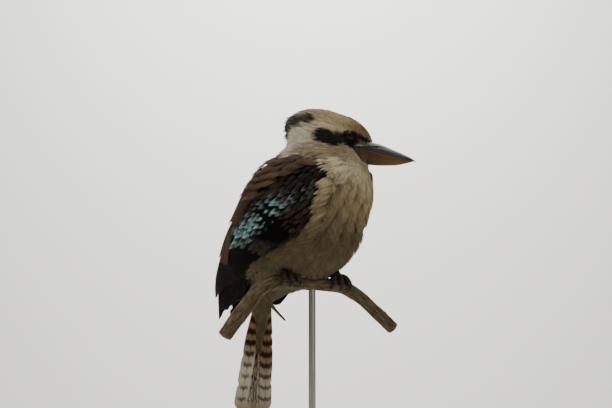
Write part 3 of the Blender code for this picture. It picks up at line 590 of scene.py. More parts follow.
def swept(centres, radii, sides, flat=1.0, up=(0, 0, 1)):
    """Rings round a line of centres. Each radius is a number, and flat is height as a share of width."""
    centres = np.asarray(centres, float)
    along = unit(np.gradient(centres, axis=0))
    across = unit(np.cross(along, np.asarray(up, float)))
    rise = np.cross(across, along)
    around = circle_angles(sides)
    ring = np.cos(around)[:, None] * across[:, None] + flat * np.sin(around)[:, None] * rise[:, None]
    return centres[:, None] + np.asarray(radii, float)[:, None, None] * ring


# %% [markdown]
# ## Skin
# Under the feathers is one skin from the vent to the forehead, so no seam shows where the frame's torso,
# neck and head meet. It is cast outwards in rings from a line along the spine to where the plumage's surface
# is less the coat's depth: about a millimetre at the bill, and nearly four on the breast.

# %% Cast the skin
SKIN_ROWS = 130
SKIN_SIDES = 180
SKIN_REACH = 150
BILL_BASE = np.array([38.0, 0, -4])
FACE_DEPTH = 0.9
BODY_DEPTH = 3.8


def coat_depth(points):
    from_bill = np.linalg.norm(to_head(points) - BILL_BASE, axis=-1)
    return FACE_DEPTH + (BODY_DEPTH - FACE_DEPTH) * smooth(from_bill, 8, 85)


def skin_distance(points):
    return body_distance(points) + coat_depth(points)


def cast_skin():
    side = np.array([0.0, -1, 0])
    middle = np.array([SPINE_POINT, SPINE_POINT])
    ends = way_out(skin_distance, middle, np.array([-SPINE, SPINE]), SKIN_REACH)
    first = SPINE_POINT - ends[0] * SPINE
    last = SPINE_POINT + ends[1] * SPINE
    along = (1 - np.cos(np.linspace(0, np.pi, SKIN_ROWS + 2)[1:-1])) / 2
    around = circle_angles(SKIN_SIDES)
    up = np.cross(SPINE, side)
    spokes = np.cos(around)[:, None] * side + np.sin(around)[:, None] * up
    origins = np.repeat((first + along[:, None] * (last - first))[:, None], SKIN_SIDES, axis=1)
    spokes = np.repeat(spokes[None], SKIN_ROWS, axis=0)
    out = way_out(skin_distance, origins, spokes, SKIN_REACH)
    return origins + out[..., None] * spokes, first, last


skin_rings, skin_tail, skin_crown = cast_skin()
print("skin rings:", skin_rings.shape, "tail end:", skin_tail.round(1), "crown end:", skin_crown.round(1))

# %% [markdown]
# ## Markings
# A laughing kookaburra is off-white with a dark brown stripe through the eye to a broad ear patch, a brown
# streaked crown with a rufous forehead, a second dark patch on the nape, and a dark brown mantle. The
# markings are soft spots in the head's and the body's own frames. Painted shade darkens the off-white below:
# the breast, more the belly and vent, and the lower cheeks. The white nape is painted brighter still as
# painted light. Skin and feathers both ask this one function.

# %% Paint by place
FEATHER = {
    "cream": "#D3C5A5",
    # nape is the near-white collar, painted brighter than the cream partly as painted light where it catches
    # the light
    "nape": "#F1E8D0",
    "buff": "#BBA57C",
    "forehead": "#7A5836",
    "crown": "#241A11",
    "stripe": "#17110C",
    "eye brown": "#4C3524",
    # breast, belly and vent hold painted shade: the off-white underparts made darker, most where they face
    # down from the light above
    "breast": "#B8A47F",
    "belly": "#6B5D41",
    "mantle": "#5C4B3D",
    "rump": "#4C5A5C",
    "black": "#090706",
    "rufous": "#6E4027",
    "turquoise": "#9FD0CE",
    "vent": "#71674A",
    "cheek": "#A09073",
    # cheek is painted shade on the off-white lower cheeks, where the head's side turns down from the light
    "scapular": "#483427",
    "lore": "#75684C",
    "grey blue": "#74878A",
}
FEATHER = {name: from_hex(code) for name, code in FEATHER.items()}

# Centre and radii in the head's frame, for the side that has y above 0
EYE_STRIPE = [
    ((2, 30, -1.5), (12.5, 16, 7.6)),
    ((9, 30, -3.5), (12, 16, 6.0)),
    ((27.5, 20, 3.8), (10.5, 10, 8.2)),
    ((33, 15, 5.6), (7, 9, 5.0)),
    ((37, 13, 6.2), (9, 12, 3.2)),
    ((29, 19, -3.6), (5, 8, 2.4)),
]
EAR_BRIDGE = [((16, 25, 0.5), (9, 12, 6.5))]
NAPE_PATCH = [
    ((-23, 24, 12.5), (10, 12, 5.2)),
    ((-35, 17, 7), (11, 14, 6.0)),
    ((-45, 11, 1.5), (10, 13, 6.0)),
    ((-51, 0, -5), (12, 18, 6.5)),
]
CROWN_CENTRE = [((8, 0, 26.5), (13, 7.5, 9)), ((-8, 0, 27), (14, 8, 9)), ((-26, 0, 24), (14, 6, 9))]
LORE_SPOT = [((40, 12, 1.6), (5.2, 9, 2.2))]
# Painted shade: spots where the lower cheeks are darkened, as they turn down away from the light above
CHEEK_SHADE = [((14, 26, -14), (20, 16, 9)), ((-8, 30, -22), (24, 18, 8))]


# %% Ask for a marking
def spotted(points, spots, soft=0.3):
    """How far points lie in any of the soft spots, from 0 to 1."""
    found = np.zeros(points.shape[:-1])
    for centre, radii in spots:
        near = np.linalg.norm((points - np.array(centre, float)) / np.array(radii, float), axis=-1)
        found = np.maximum(found, 1 - smooth(near, 1 - soft, 1 + soft))
    return found


def mixed(first, second, share):
    return first + (second - first) * np.asarray(share)[..., None]


def marking(points):
    """The plumage's colour and how strongly it is streaked at points in the bird's frame."""
    head = to_head(points)
    side = to_left(head)
    spine, back = to_trunk(points)
    # Painted shade: the underparts darken from cream at the throat through the breast to the belly and the
    # vent below
    colour = mixed(FEATHER["belly"], FEATHER["breast"], smooth(spine, -20, 38))
    colour = mixed(colour, FEATHER["vent"], smooth(spine, -48, -70))
    colour = mixed(colour, FEATHER["cream"], smooth(spine, 30, 56))
    # The nape's white collar is partly its own colour and partly painted light, brighter where it catches the
    # light from above
    white = smooth(head[..., 0], -4, -22) * smooth(head[..., 2], 10, -2) * smooth(spine, 22, 40)
    colour = mixed(colour, FEATHER["nape"], white)
    on_crown = smooth(head[..., 2], 8, 15) * smooth(head[..., 0], -52, -30)
    colour = mixed(colour, FEATHER["buff"], on_crown * 0.75)
    streaked = 0.12 + 0.5 * on_crown
    brow = smooth(head[..., 0], 12, 32) * smooth(head[..., 2], 2, 12)
    colour = mixed(colour, FEATHER["forehead"], brow * 0.85)
    crown = spotted(side, CROWN_CENTRE, 0.4) * smooth(head[..., 0], -52, 2)
    colour = mixed(colour, FEATHER["crown"], crown)
    colour = mixed(colour, FEATHER["cheek"], spotted(side, CHEEK_SHADE, 0.5) * 0.75)
    colour = mixed(colour, FEATHER["eye brown"], spotted(side, EAR_BRIDGE, 0.35))
    dark = np.maximum(spotted(side, EYE_STRIPE, 0.16), spotted(side, NAPE_PATCH, 0.3) * 0.95)
    lore = spotted(side, LORE_SPOT, 0.3)
    dark = dark * (1 - lore)
    colour = mixed(mixed(colour, FEATHER["lore"], lore), FEATHER["stripe"], dark)
    mantle = smooth(back, 4, 18) * smooth(spine, 42, 35)
    colour = mixed(colour, FEATHER["mantle"], mantle)
    colour = mixed(colour, FEATHER["rump"], mantle * smooth(spine, -38, -52) * 0.7)
    return colour, streaked * (1 - dark) * (1 - mantle)


# %% Unwrap the head and the trunk
def head_unwrap(points):
    """A place on the head's own unwrap: the angle round the bill's axis, and the angle back from the bill."""
    ray = unit(to_head(points) - [-6, 0, 0])
    turn = np.arctan2(ray[..., 1], ray[..., 2]) / (2 * np.pi) + 0.5
    return stacked(turn, np.arccos(np.clip(ray[..., 0], -1, 1)) / np.pi)


def trunk_unwrap(points):
    """A place on the trunk's own unwrap: the angle round the spine, and the run along it."""
    spine, back = to_trunk(points)
    turn = np.arctan2(points[..., 1], back) / (2 * np.pi) + 0.5
    return stacked(turn, (spine + 95) / 190)


# %% Make the skin
points, faces = closed_rings(skin_rings, skin_tail, skin_crown)
skin_colours, _ = marking(points)
# The skin takes the markings at 0.8 as painted shade: it shows only in gaps deep under the coat
skin = make_piece("skin", points, faces, plumage, skin_colours * 0.8, {"OFBake": trunk_unwrap(points)})
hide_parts("torso", "neck", "head")
print("skin:", len(faces), "triangles")

# %% [markdown]
# ## How feathers lie and grow
# Feathers lie back from the bill over the head, then down the neck and body towards the tail. Each one is a
# tuft of thin barbs that fan out from one root, and each barb is a closed sliver with three sides. Their
# middle lines follow the skin: the root is sunk in it, and the tip rises to the plumage's surface, over the
# roots of the next ones.

# %% Feather helpers
TUFT_PATCH = 0.003


def lie_of(points, normals):
    """The way that feathers point at each place on the skin."""
    from_bill = unit(points - from_head((46, 0, -4)))
    share = smooth(np.linalg.norm(points - HEAD_CENTRE, axis=-1), 34, 64)
    flow = mixed(from_bill, np.broadcast_to(-SPINE, points.shape), share)
    return unit(flow - normals * (flow * normals).sum(axis=-1, keepdims=True))


def spread_out(points, spacing):
    """The numbers of the points that stand at least their spacing from each one kept before."""
    cell = float(spacing.max())
    kept = {}
    chosen = []
    keys = np.floor(points / cell).astype(int)
    near = [(a, b, c) for a in (-1, 0, 1) for b in (-1, 0, 1) for c in (-1, 0, 1)]
    for i, (key, place, room) in enumerate(zip(keys.tolist(), points.tolist(), (spacing**2).tolist())):
        clear = True
        for a, b, c in near:
            for x, y, z in kept.get((key[0] + a, key[1] + b, key[2] + c), ()):
                if (place[0] - x) ** 2 + (place[1] - y) ** 2 + (place[2] - z) ** 2 < room:
                    clear = False
                    break
            if not clear:
                break
        if clear:
            kept.setdefault(tuple(key), []).append(place)
            chosen.append(i)
    return np.array(chosen)


def skin_places(draw, count):
    """Random places on the skin, evenly over its area."""
    a = skin_rings[:-1]
    b = np.roll(a, -1, axis=1)
    c = skin_rings[1:]
    areas = np.linalg.norm(np.cross(b - a, c - a), axis=-1)
    cells = draw.choice(areas.size, count, p=areas.ravel() / areas.sum())
    i, j = np.divmod(cells, SKIN_SIDES)
    u, v = draw.random((2, count, 1))
    k = (j + 1) % SKIN_SIDES
    near = skin_rings[i, j] * (1 - u) + skin_rings[i, k] * u
    far = skin_rings[i + 1, j] * (1 - u) + skin_rings[i + 1, k] * u
    return near * (1 - v) + far * v


def on_skin(points, heights):
    """Points moved to those heights over the skin, with the normals there."""
    for _ in range(2):
        normals = normals_of(skin_distance, points)
        points = points + normals * (heights - skin_distance(points))[..., None]
    return points, normals


# %% Barbs of a tuft
def barbs(centres, sides, normals, widths, strands, draw, splay=1.0, fringe=0.28):
    """Middle points of each tuft's barbs, and each barb's share across its tuft. centres is (tufts, rows, 3),
    widths (tufts).
    """
    tufts, rows = centres.shape[:2]
    t = np.linspace(0, 1, rows)
    share = np.linspace(-1, 1, strands) + draw.uniform(-0.6, 0.6, (tufts, strands)) / strands
    spread = curve(t, [0, 0.5, 1], [0.3, 0.85, splay])
    across = share[:, :, None] * spread * widths[:, None, None] / 2
    short = 1 - fringe * share**2 + draw.uniform(-0.09, 0.05, (tufts, strands))
    ahead = unit(centres[:, -1] - centres[:, 0])[:, None, None]
    length = np.linalg.norm(centres[:, -1] - centres[:, 0], axis=-1)[:, None, None]
    back = ((short[:, :, None] - 1) * t * length)[..., None] * ahead
    dish = -0.05 * widths[:, None, None] * share[:, :, None] ** 2 * t
    wander = draw.uniform(-0.12, 0.12, (tufts, strands, 1)) * t * widths[:, None, None] / 2
    middle = centres[:, None] + back + (across + wander)[..., None] * sides[:, None]
    raised = dish + draw.uniform(-0.12, 0.12, (tufts, strands, 1)) * t
    return middle + raised[..., None] * normals[:, None], share


def barb_mesh(middle, sides, normals, half, thick):
    """Points and triangles of closed three-sided slivers. middle is (tufts, strands, rows, 3)."""
    tufts, strands, rows = middle.shape[:3]
    t = np.linspace(0, 1, rows)[:-1]
    wide = half[:, None, None, None] * curve(t, [0, 0.5, 1], [0.7, 1, 0.3])[:, None]
    high = thick * wide
    body = middle[:, :, :-1]
    side = sides[:, None, :-1]
    up = normals[:, None, :-1]
    corners = np.stack([body + side * wide, body - side * wide, body + up * high], axis=3)
    corners = corners.reshape(tufts * strands, (rows - 1) * 3, 3)
    tips = middle[:, :, -1].reshape(tufts * strands, 1, 3)
    points = np.concatenate([corners, tips], axis=1)
    faces = [(0, 2, 1)]
    for row in range(rows - 2):
        for j in range(3):
            a, b = row * 3 + j, row * 3 + (j + 1) % 3
            faces += [(a, b, b + 3), (a, b + 3, a + 3)]
    last = (rows - 2) * 3
    faces += [(last + j, last + (j + 1) % 3, last + 3) for j in range(3)]
    starts = (np.arange(tufts * strands) * points.shape[1])[:, None, None]
    return points.reshape(-1, 3), (np.array(faces)[None] + starts).reshape(-1, 3)


# %% Pieces of tufts
MOST_TRIANGLES = 190_000


def make_tufts(name, centres, sides, normals, widths, strands, tints, streaks, places, draw, **form):
    """Pieces of plumage, each under the triangle limit. Tints holds a colour for each row of each tuft, and
    streaks say how dark its middle barbs are."""
    rows = centres.shape[1]
    per_barb = 6 * (rows - 2) + 4
    limit = MOST_TRIANGLES // (per_barb * strands)
    pieces = []
    for number, start in enumerate(range(0, len(centres), limit)):
        part = slice(start, start + limit)
        middle, share = barbs(
            centres[part], sides[part], normals[part], widths[part], strands, draw,
            form.get("splay", 1.0), form.get("fringe", 0.28),
        )
        half = widths[part] / strands * form.get("fullness", 1.15)
        points, faces = barb_mesh(middle, sides[part], normals[part], half, form.get("thick", 0.55))
        count = len(middle)
        t = np.append(np.repeat(np.linspace(0, 1, rows)[:-1], 3), 1)
        shade = 1 + draw.uniform(-0.16, 0.16, (count, 1, 1)) + draw.uniform(-0.14, 0.14, (count, strands, 1))
        inner = 1 - smooth(np.abs(share), 0.15, 0.75)
        dark = streaks[part][:, None] * inner * draw.uniform(0.5, 1.3, share.shape)
        rows_of = np.append(np.repeat(np.arange(rows - 1), 3), rows - 1)
        colours = np.broadcast_to(tints, centres.shape)[part][:, rows_of][:, None]
        # Each barb darkens towards its root: painted shade where the tufts above cover it, and greyer down;
        # the form's root sets how dark
        colours = colours * (shade * curve(t, [0, 0.5, 1], [form.get("root", 0.66), 0.95, 1.06]))[..., None]
        colours = colours * (1 - 0.75 * np.clip(dark, 0, 1))[:, :, None, None]
        patch = stacked(share[:, :, None], 2 * t - 1)
        flat = places[part][:, None, None] + patch * TUFT_PATCH / 2
        maps = {"OFBake": flat.reshape(-1, 2)}
        full_name = f"{name}_{number + 1}"
        pieces.append(make_piece(full_name, points, faces, plumage, colours.reshape(-1, 3), maps))
    print(name + ":", len(centres), "tufts,", len(centres) * strands * per_barb, "triangles")
    return pieces

# %% [markdown]
# ## Coat of the head
# The smallest feathers ring the bill and the eye, about three millimetres long. They grow longer over the
# cheeks and crown, and at the back of the crown they stand off as a shaggy crest. Roots are spread by keeping
# a least distance between them, which looks grown, where a lattice would look knitted. None stand where the
# bill's horn, the eyes and the folded wings will be, so those places are worked out first.

# %% Size the head's feathers
EYE_CENTRE = np.array([24.5, 16.9, 5.6])
EYE_RADIUS = 6.2
EYE_OPENING = 4.6
HEAD_REACH = 66
SEED = 11
SKIN_CANDIDATES = 140_000
COAT_ROWS = 4
HEAD_STRANDS = 7
# How far under the skin's level a tip goes that would lie under the wing
SUNK = -2.6

# The edges of the horn at the corner of the mouth
GAPE_X = [30.5, 34, 38, 41, 44.5]
GAPE_TOP = [-4.6, -2.0, -0.8, 0.2, 2.6]
GAPE_MOUTH = [-5.2, -4.5, -3.7, -3.1, -2.5]
GAPE_FOOT = [-5.9, -8.4, -12.0, -15.0, -15.4]


def on_gape(side):
    """True where the bill's horn runs back to the corner of the mouth."""
    low = np.interp(side[:, 0], GAPE_X, GAPE_FOOT) + 1.6
    high = np.interp(side[:, 0], GAPE_X, GAPE_TOP) - 1.0
    return (side[:, 0] > GAPE_X[0] + 1.5) & (side[:, 2] > low) & (side[:, 2] < high) & (side[:, 1] > 4)


def head_sizes(points):
    """Length, width, spacing and lift of the feathers at places on the head and neck."""
    head = to_head(points)
    side = to_left(head)
    from_bill = np.linalg.norm(head - BILL_BASE, axis=-1)
    from_eye = np.linalg.norm(side - EYE_CENTRE, axis=-1)
    small = np.minimum(smooth(from_bill, 4, 42), smooth(from_eye, 5, 24))
    behind = smooth(head[..., 0], -8, -42) * smooth(head[..., 2], -10, 6)
    low = smooth(head[..., 2], -14, -40)
    length = 3.2 + 8.6 * small + 5.0 * behind + 2.4 * low
    width = 1.1 + 1.25 * small + 0.8 * behind + 2.2 * low
    spacing = 0.88 + 0.72 * small + 0.9 * low
    lift = 0.2 + 0.4 * small + 1.0 * behind + 0.4 * low
    return length, width, spacing, lift


# %% Middle lines of tufts
def tuft_lines(roots, lies, length, depth, lift, rows, pull=None):
    """Middle lines of tufts over the skin, with their sides and normals."""
    t = np.linspace(0, 1, rows)
    heading = lies if pull is None else unit(lies + pull)
    centres = roots[:, None] + heading[:, None] * (length[:, None] * t)[..., None]
    heights = -0.4 + (depth + lift + 0.4)[:, None] * t**0.8
    centres, normals = on_skin(centres, heights)
    along = unit(np.gradient(centres, axis=1))
    sides = unit(np.cross(normals, along))
    return centres, sides, normals


# %% Place the folded wings
WING_BEND = np.array([46.0, 0, 103])
WING_TIP = np.array([-103.0, 0, -37])
WING_LENGTH = np.linalg.norm(WING_TIP - WING_BEND)
WING_LINE = (WING_TIP - WING_BEND) / WING_LENGTH
WING_BACK = np.array([WING_LINE[2], 0, -WING_LINE[0]])
WING_STATIONS = [0, 0.15, 0.4, 0.62, 0.8, 0.92, 1.06]
WING_SIDE_RADIUS = [28, 40, 44, 37, 26, 18, 10]
WING_BACK_RADIUS = [28, 50, 70, 74, 63, 50, 10]
WING_LOWER_EDGE = [-5, -28, -20, 0, -14, -14, -10]
WING_UPPER_EDGE = [22, 51, 79, 83, 82, 80, 70]
WING_SINK = 2


def wing_edges(along):
    """The angles of the wing's lower and upper edges."""
    return curve(along, WING_STATIONS, WING_LOWER_EDGE), curve(along, WING_STATIONS, WING_UPPER_EDGE)


def under_wing(points):
    """True inside the place that a folded wing covers."""
    off = points - WING_BEND * [1, 0, 1]
    along = off @ WING_LINE / WING_LENGTH
    around = np.degrees(np.arctan2(off @ WING_BACK, np.abs(points[..., 1])))
    lower, upper = wing_edges(np.clip(along, 0, 1))
    return (along > 0) & (along < 1) & (around > lower - 2) & (around < upper - 5)


# %% Grow the head's coat
draw = np.random.default_rng(SEED)
candidates = skin_places(draw, SKIN_CANDIDATES)
neck_reach = np.linalg.norm(candidates - HEAD_CENTRE, axis=-1)
on_head = candidates[neck_reach < HEAD_REACH]
length, width, spacing, lift = head_sizes(on_head)
kept = spread_out(on_head, spacing)
roots = on_head[kept]
head = to_head(roots)
side = to_left(head)
bare = np.linalg.norm((side - EYE_CENTRE) * [0.96, 0.5, 1.12], axis=-1) < EYE_OPENING + 0.5
in_bill = (head[:, 0] > 34) & (np.hypot(head[:, 1] / 9, (head[:, 2] + 4) / 11) < 0.86)
roots = roots[~(bare | in_bill | on_gape(side) | under_wing(roots))]
length, width, spacing, lift = head_sizes(roots)
normals = normals_of(skin_distance, roots)
lies = lie_of(roots, normals)
length = length * draw.uniform(0.85, 1.25, len(roots))
lift = lift * draw.uniform(0.3, 1.3, len(roots))
lift = np.where(under_wing(roots + lies * length[:, None]), SUNK, lift)
across = unit(np.cross(normals, lies))
pull = across * draw.normal(0, 0.12, (len(roots), 1))
centres, sides, normals = tuft_lines(roots, lies, length, coat_depth(roots) * 0.9, lift, COAT_ROWS, pull)
slip = lies * draw.normal(0, 1.7, (len(roots), 1)) + draw.normal(0, 0.35, (len(roots), 3))
tints, _ = marking(centres + slip[:, None])
_, streaks = marking(roots)
tints = tints * draw.uniform(0.84, 1.1, (len(roots), 1, 1))
# On the head the painted shade at each tuft's root is lighter, at 0.8
head_coat = make_tufts(
    "head_coat", centres, sides, normals, width, HEAD_STRANDS, tints, streaks, head_unwrap(roots), draw,
    splay=1.4, fringe=0.55, fullness=0.9, root=0.8,
)

# %% [markdown]
# ## Coat of the body
# Breast and belly feathers are long, loose and downy at the edges. They gather in soft clumps that hang
# over each other, so tufts near one clump's middle lean towards it, and each clump has its own lift and
# tone. Tufts at a clump's edge are painted darker as painted shade, where the gaps between clumps fall dark.
# The mantle between the wings is closer and darker.

# %% Grow the body's coat
CLUMP_SPACING = 12
BODY_STRANDS = 15


def body_sizes(points):
    spine, back = to_trunk(points)
    low = smooth(spine, 10, -40)
    front = smooth(back, 12, -5)
    high = smooth(spine, 12, 38)
    length = 11 + 3.5 * low + 1.5 * front
    width = 6.2 + 1.6 * low - 2.4 * high
    spacing = 3.0 + 0.5 * low - 0.8 * high
    lift = 0.4 + 0.8 * front
    return length, width, spacing, lift


on_body = candidates[neck_reach > HEAD_REACH - 4]
on_body = on_body[~under_wing(on_body)]
length, width, spacing, lift = body_sizes(on_body)
kept = spread_out(on_body, spacing)
roots = on_body[kept]
length, width, spacing, lift = body_sizes(roots)
normals = normals_of(skin_distance, roots)
lies = lie_of(roots, normals)
clumps = roots[spread_out(roots, np.full(len(roots), float(CLUMP_SPACING)))]
nearest = np.argmin(((roots[:, None] - clumps[None]) ** 2).sum(axis=-1), axis=1)
towards = clumps[nearest] - roots
towards = towards - lies * (towards * lies).sum(axis=-1, keepdims=True)
clump_lift = draw.uniform(-1.2, 3.0, len(clumps))[nearest]
clump_length = draw.uniform(0.8, 1.35, len(clumps))[nearest]
spine, back = to_trunk(roots)
front = smooth(back, 14, 0) * (0.35 + 0.65 * smooth(spine, -25, 15))
off_clump = np.linalg.norm(towards, axis=-1) / CLUMP_SPACING
# Each clump gets its own random tone, and tufts at a clump's edge on the breast get painted shade for the
# dark gaps between clumps
clump_tone_and_gap_shade = draw.uniform(0.82, 1.1, len(clumps))[nearest] * (1 - 0.42 * front * smooth(off_clump, 0.3, 0.7))
pull = towards / length[:, None] * (0.75 * front)[:, None]
length = length * clump_length * draw.uniform(0.85, 1.15, len(roots))
lift = lift + clump_lift * front
lift = np.where(under_wing(roots + lies * length[:, None]), SUNK, lift)
centres, sides, normals = tuft_lines(roots, lies, length, coat_depth(roots) * 0.85, lift, COAT_ROWS, pull)
tints, _ = marking(centres)
_, streaks = marking(roots)
tints = tints * clump_tone_and_gap_shade[:, None, None]
body_coat = make_tufts(
    "body_coat", centres, sides, normals, width, BODY_STRANDS, tints, streaks, trunk_unwrap(roots), draw
)

# %% [markdown]
# ## Folded wings
# A folded wing is a sheet that hugs the flank: small lesser and median coverts at its front, greater coverts
# over the roots of the secondaries, the long primaries below, and scapulars from the back over it all.
# Every place on it has a run along the wing and an angle round it, as in the frame, so each feather can be
# laid out flat in these and then wrapped over the body.


# %% Wing helpers
def wing_point(along, around, out, hand):
    """A point of the folded wing. along runs from bend to tip, and around from the side to the back in
    degrees."""
    along = np.asarray(along, float)
    angle = np.radians(around)
    side = curve(along, WING_STATIONS, WING_SIDE_RADIUS)
    back = curve(along, WING_STATIONS, WING_BACK_RADIUS)
    free = 1 / np.hypot(np.cos(angle) / side, np.sin(angle) / back)
    origins = WING_BEND + (along * WING_LENGTH)[..., None] * WING_LINE
    spokes = np.sin(angle)[..., None] * WING_BACK + np.cos(angle)[..., None] * np.array([0.0, -1, 0])
    body = way_out(body_distance, origins, spokes, 110) - WING_SINK
    body = np.where(body_distance(origins) < 0, body, 0)
    radius = -blended(-free, -body, 8)
    points = origins + (radius + out)[..., None] * spokes
    return points * np.array([1, -hand, 1])


# %% Vanes as closed plates
VANE_COLUMNS = np.array([-1, -0.8, -0.55, -0.28, -0.09, 0, 0.09, 0.28, 0.55, 0.8, 1.0])
SHAFT_RIDGE = np.exp(-((VANE_COLUMNS / 0.07) ** 2))
SHAFT_HEIGHT = 0.3
VANE_THICKNESS = 0.34


def vane_outline(rows, tip_share, root_width):
    """Runs from 0 to 1 down a feather, closer at its round tip, and its width at each as a share."""
    t = np.sin(np.linspace(0, np.pi / 2, rows)) ** 1.15
    root = root_width + (1 - root_width) * smooth(t, 0, 0.45)
    tip = np.sqrt(np.clip(1 - (np.clip(t - 1 + tip_share, 0, 1) / tip_share) ** 2, 0.004, 1))
    return t, root * tip


def frayed(t, draw, count, depth):
    """How much of its half width a vane keeps at each row, where barbs have parted."""
    kept = np.ones(len(t))
    for place, deep in zip(draw.uniform(0.3, 0.97, count), draw.uniform(0.3, 1.0, count)):
        kept -= depth * deep * np.exp(-(((t - place) / 0.014) ** 2))
    return kept


def off_shaft_places(half, t, draw, count, depth):
    """How far each place of a vane is from its shaft, in millimetres, with both its edges frayed."""
    left = half * frayed(t, draw, count, depth)
    right = half * frayed(t, draw, count, depth)
    return np.where(VANE_COLUMNS < 0, left[:, None], right[:, None]) * VANE_COLUMNS


def vane_shells(grids, thickness):
    """Closed plates from grids of points and outward normals, joined as one mesh of points and triangles."""
    all_points = []
    all_faces = []
    start = 0
    for points, normals in grids:
        rows, columns = points.shape[:2]
        edge = 1 - np.abs(VANE_COLUMNS[None, :, None]) ** 3 * 0.7
        top = points + normals * thickness / 2 * edge
        bottom = points - normals * thickness / 2 * edge
        all_points += [top.reshape(-1, 3), bottom.reshape(-1, 3)]
        all_faces.append(plate_faces(rows, columns) + start)
        start += 2 * rows * columns
    return np.concatenate(all_points), np.concatenate(all_faces)


def grid_normals(points):
    return unit(np.cross(np.gradient(points, axis=0), np.gradient(points, axis=1)))


# %% Lay one tract of vanes
Tract = namedtuple("Tract", "count roots root_angles tips tip_angles width heights tilt shaft finish")


def lay_tract(name, tract, hand, rows, draw):
    """One piece with every vane of a tract of the wing, painted by its finish(t, across, share, draw)."""
    grids, colours, maps = [], [], []
    for number in range(tract.count):
        share = number / (tract.count - 1)
        root = np.interp(share, [0, 1], tract.roots)
        tip = np.interp(share, [0, 1], tract.tips) + draw.uniform(-0.008, 0.008)
        root_angle = np.interp(share, [0, 1], tract.root_angles)
        tip_angle = np.interp(share, [0, 1], tract.tip_angles) + draw.uniform(-1.2, 1.2)
        t, wide = vane_outline(rows, 0.16, 0.6)
        along = root + (tip - root) * t
        around = root_angle + (tip_angle - root_angle) * t
        guide = WING_BEND + (along * WING_LENGTH)[:, None] * WING_LINE
        reach = np.linalg.norm(wing_point(along, around, 0, -1) - guide, axis=-1)
        half = tract.width / 2 * wide * draw.uniform(0.94, 1.06)
        across = off_shaft_places(half, t, draw, 3, 0.3)
        across = across + tract.shaft * half[:, None] * (1 - np.abs(VANE_COLUMNS))
        lower, upper = wing_edges(np.clip(along, 0, 1))
        angles = around[:, None] - np.degrees(across / reach[:, None])
        angles = np.clip(angles, lower[:, None] - 1, upper[:, None] + 1)
        level = np.interp(t, [0, 1], tract.heights)[:, None]
        dome = 0.45 * (1 - VANE_COLUMNS**2)
        shaft = SHAFT_HEIGHT * SHAFT_RIDGE * (1 - t[:, None] ** 3)
        ripple = 0.12 * np.sin(t[:, None] * 19 + number) * VANE_COLUMNS
        out = level + tract.tilt * across + dome + shaft + ripple
        points = wing_point(np.repeat(along[:, None], len(VANE_COLUMNS), axis=1), angles, out, hand)
        normals = grid_normals(points) * hand
        grids.append((points, normals))
        t_grid = np.repeat(t[:, None], len(VANE_COLUMNS), axis=1)
        shade = draw.uniform(0.86, 1.14)
        colour = tract.finish(t_grid, np.broadcast_to(VANE_COLUMNS, t_grid.shape), share, draw) * shade
        length = (tip - root) * WING_LENGTH
        flat = stacked(across, t_grid * length)
        # The vane's underside gets the same colours at 0.8: painted shade on the side that faces the body
        colours += [colour.reshape(-1, 3), colour.reshape(-1, 3) * 0.8]
        maps += [flat.reshape(-1, 2), flat.reshape(-1, 2)]
    points, faces = vane_shells(grids, VANE_THICKNESS)
    piece = make_piece(
        name, points, faces, vane_finish, np.concatenate(colours), {"vane": np.concatenate(maps)}
    )
    print(name + ":", tract.count, "vanes,", len(faces), "triangles")
    return piece


# %% [markdown]
# ## Colours of the wing's vanes
# Primaries and secondaries are blackish brown with a thin pale edge, the scapulars are warm brown with
# rufous edges, and the greater coverts are dark with pale blue touches near the scapulars.


# %% Vane finishes
def edged(base, edge, share, width=0.16):
    """A finish of one colour with a thin paler edge and tip."""

    def paint(t, across, place, draw):
        rim = np.maximum(smooth(np.abs(across), 1 - width, 1), smooth(t, 0.93, 1.0))
        return mixed(FEATHER[base], FEATHER[edge], rim * share)

    return paint


def blue_touched(t, across, place, draw):
    rim = np.maximum(smooth(np.abs(across), 0.8, 1), smooth(t, 0.9, 1.0)) * 0.3
    off_shaft = 1 - 0.5 * np.exp(-((across / 0.2) ** 2))
    touched = smooth(t, 0.76, 0.93) * smooth(place, 0.6, 0.4) * draw.uniform(0.1, 0.7) * off_shaft
    return mixed(mixed(FEATHER["black"], FEATHER["mantle"], rim), FEATHER["turquoise"], touched)


# Count, roots and their angles, tips and their angles, width, heights, tilt, shaft's shift and finish
WING_TRACTS = {
    "primaries": Tract(
        10, (0.5, 0.52), (50, -2), (1.03, 0.8), (58, -8), 13, (1.3, 1.6), 0.12, -0.3,
        edged("black", "mantle", 0.35),
    ),
    "secondaries": Tract(
        12, (0.42, 0.44), (74, -4), (0.97, 0.68), (74, 4), 15, (2.0, 4.4), 0.09, -0.2,
        edged("black", "rufous", 0.2),
    ),
    "tertials": Tract(
        4, (0.4, 0.4), (78, 58), (0.8, 0.74), (78, 48), 17, (2.6, 5.4), 0.07, 0.0,
        edged("scapular", "rufous", 0.55, 0.22),
    ),
    "greater_coverts": Tract(
        12, (0.28, 0.24), (42, -22), (0.58, 0.42), (44, -15), 13, (2.0, 6.0), 0.09, -0.1, blue_touched
    ),
    "scapulars_low": Tract(
        6, (0.28, 0.26), (74, 44), (0.62, 0.52), (76, 42), 16, (2.2, 7.2), 0.08, 0.0,
        edged("scapular", "rufous", 0.6, 0.24),
    ),
}
VANE_ROWS = 26
SIDES = (("left", 1), ("right", -1))
print("tracts of each wing:", ", ".join(WING_TRACTS))

# %% [markdown]
# ## Loose feathers of the wing
# Lesser and median coverts are small and loose, so each is a tuft of barbs on the wing's sheet. The barbs of
# many end in pale blue: brightest in a slanting band under the scapulars, scattered in front of it. Larger
# loose feathers cover the shoulder, and a fringe from breast, flank and mantle lies over the wing's edges, so
# that the folded wing seems tucked into the plumage, as it is on the bird.

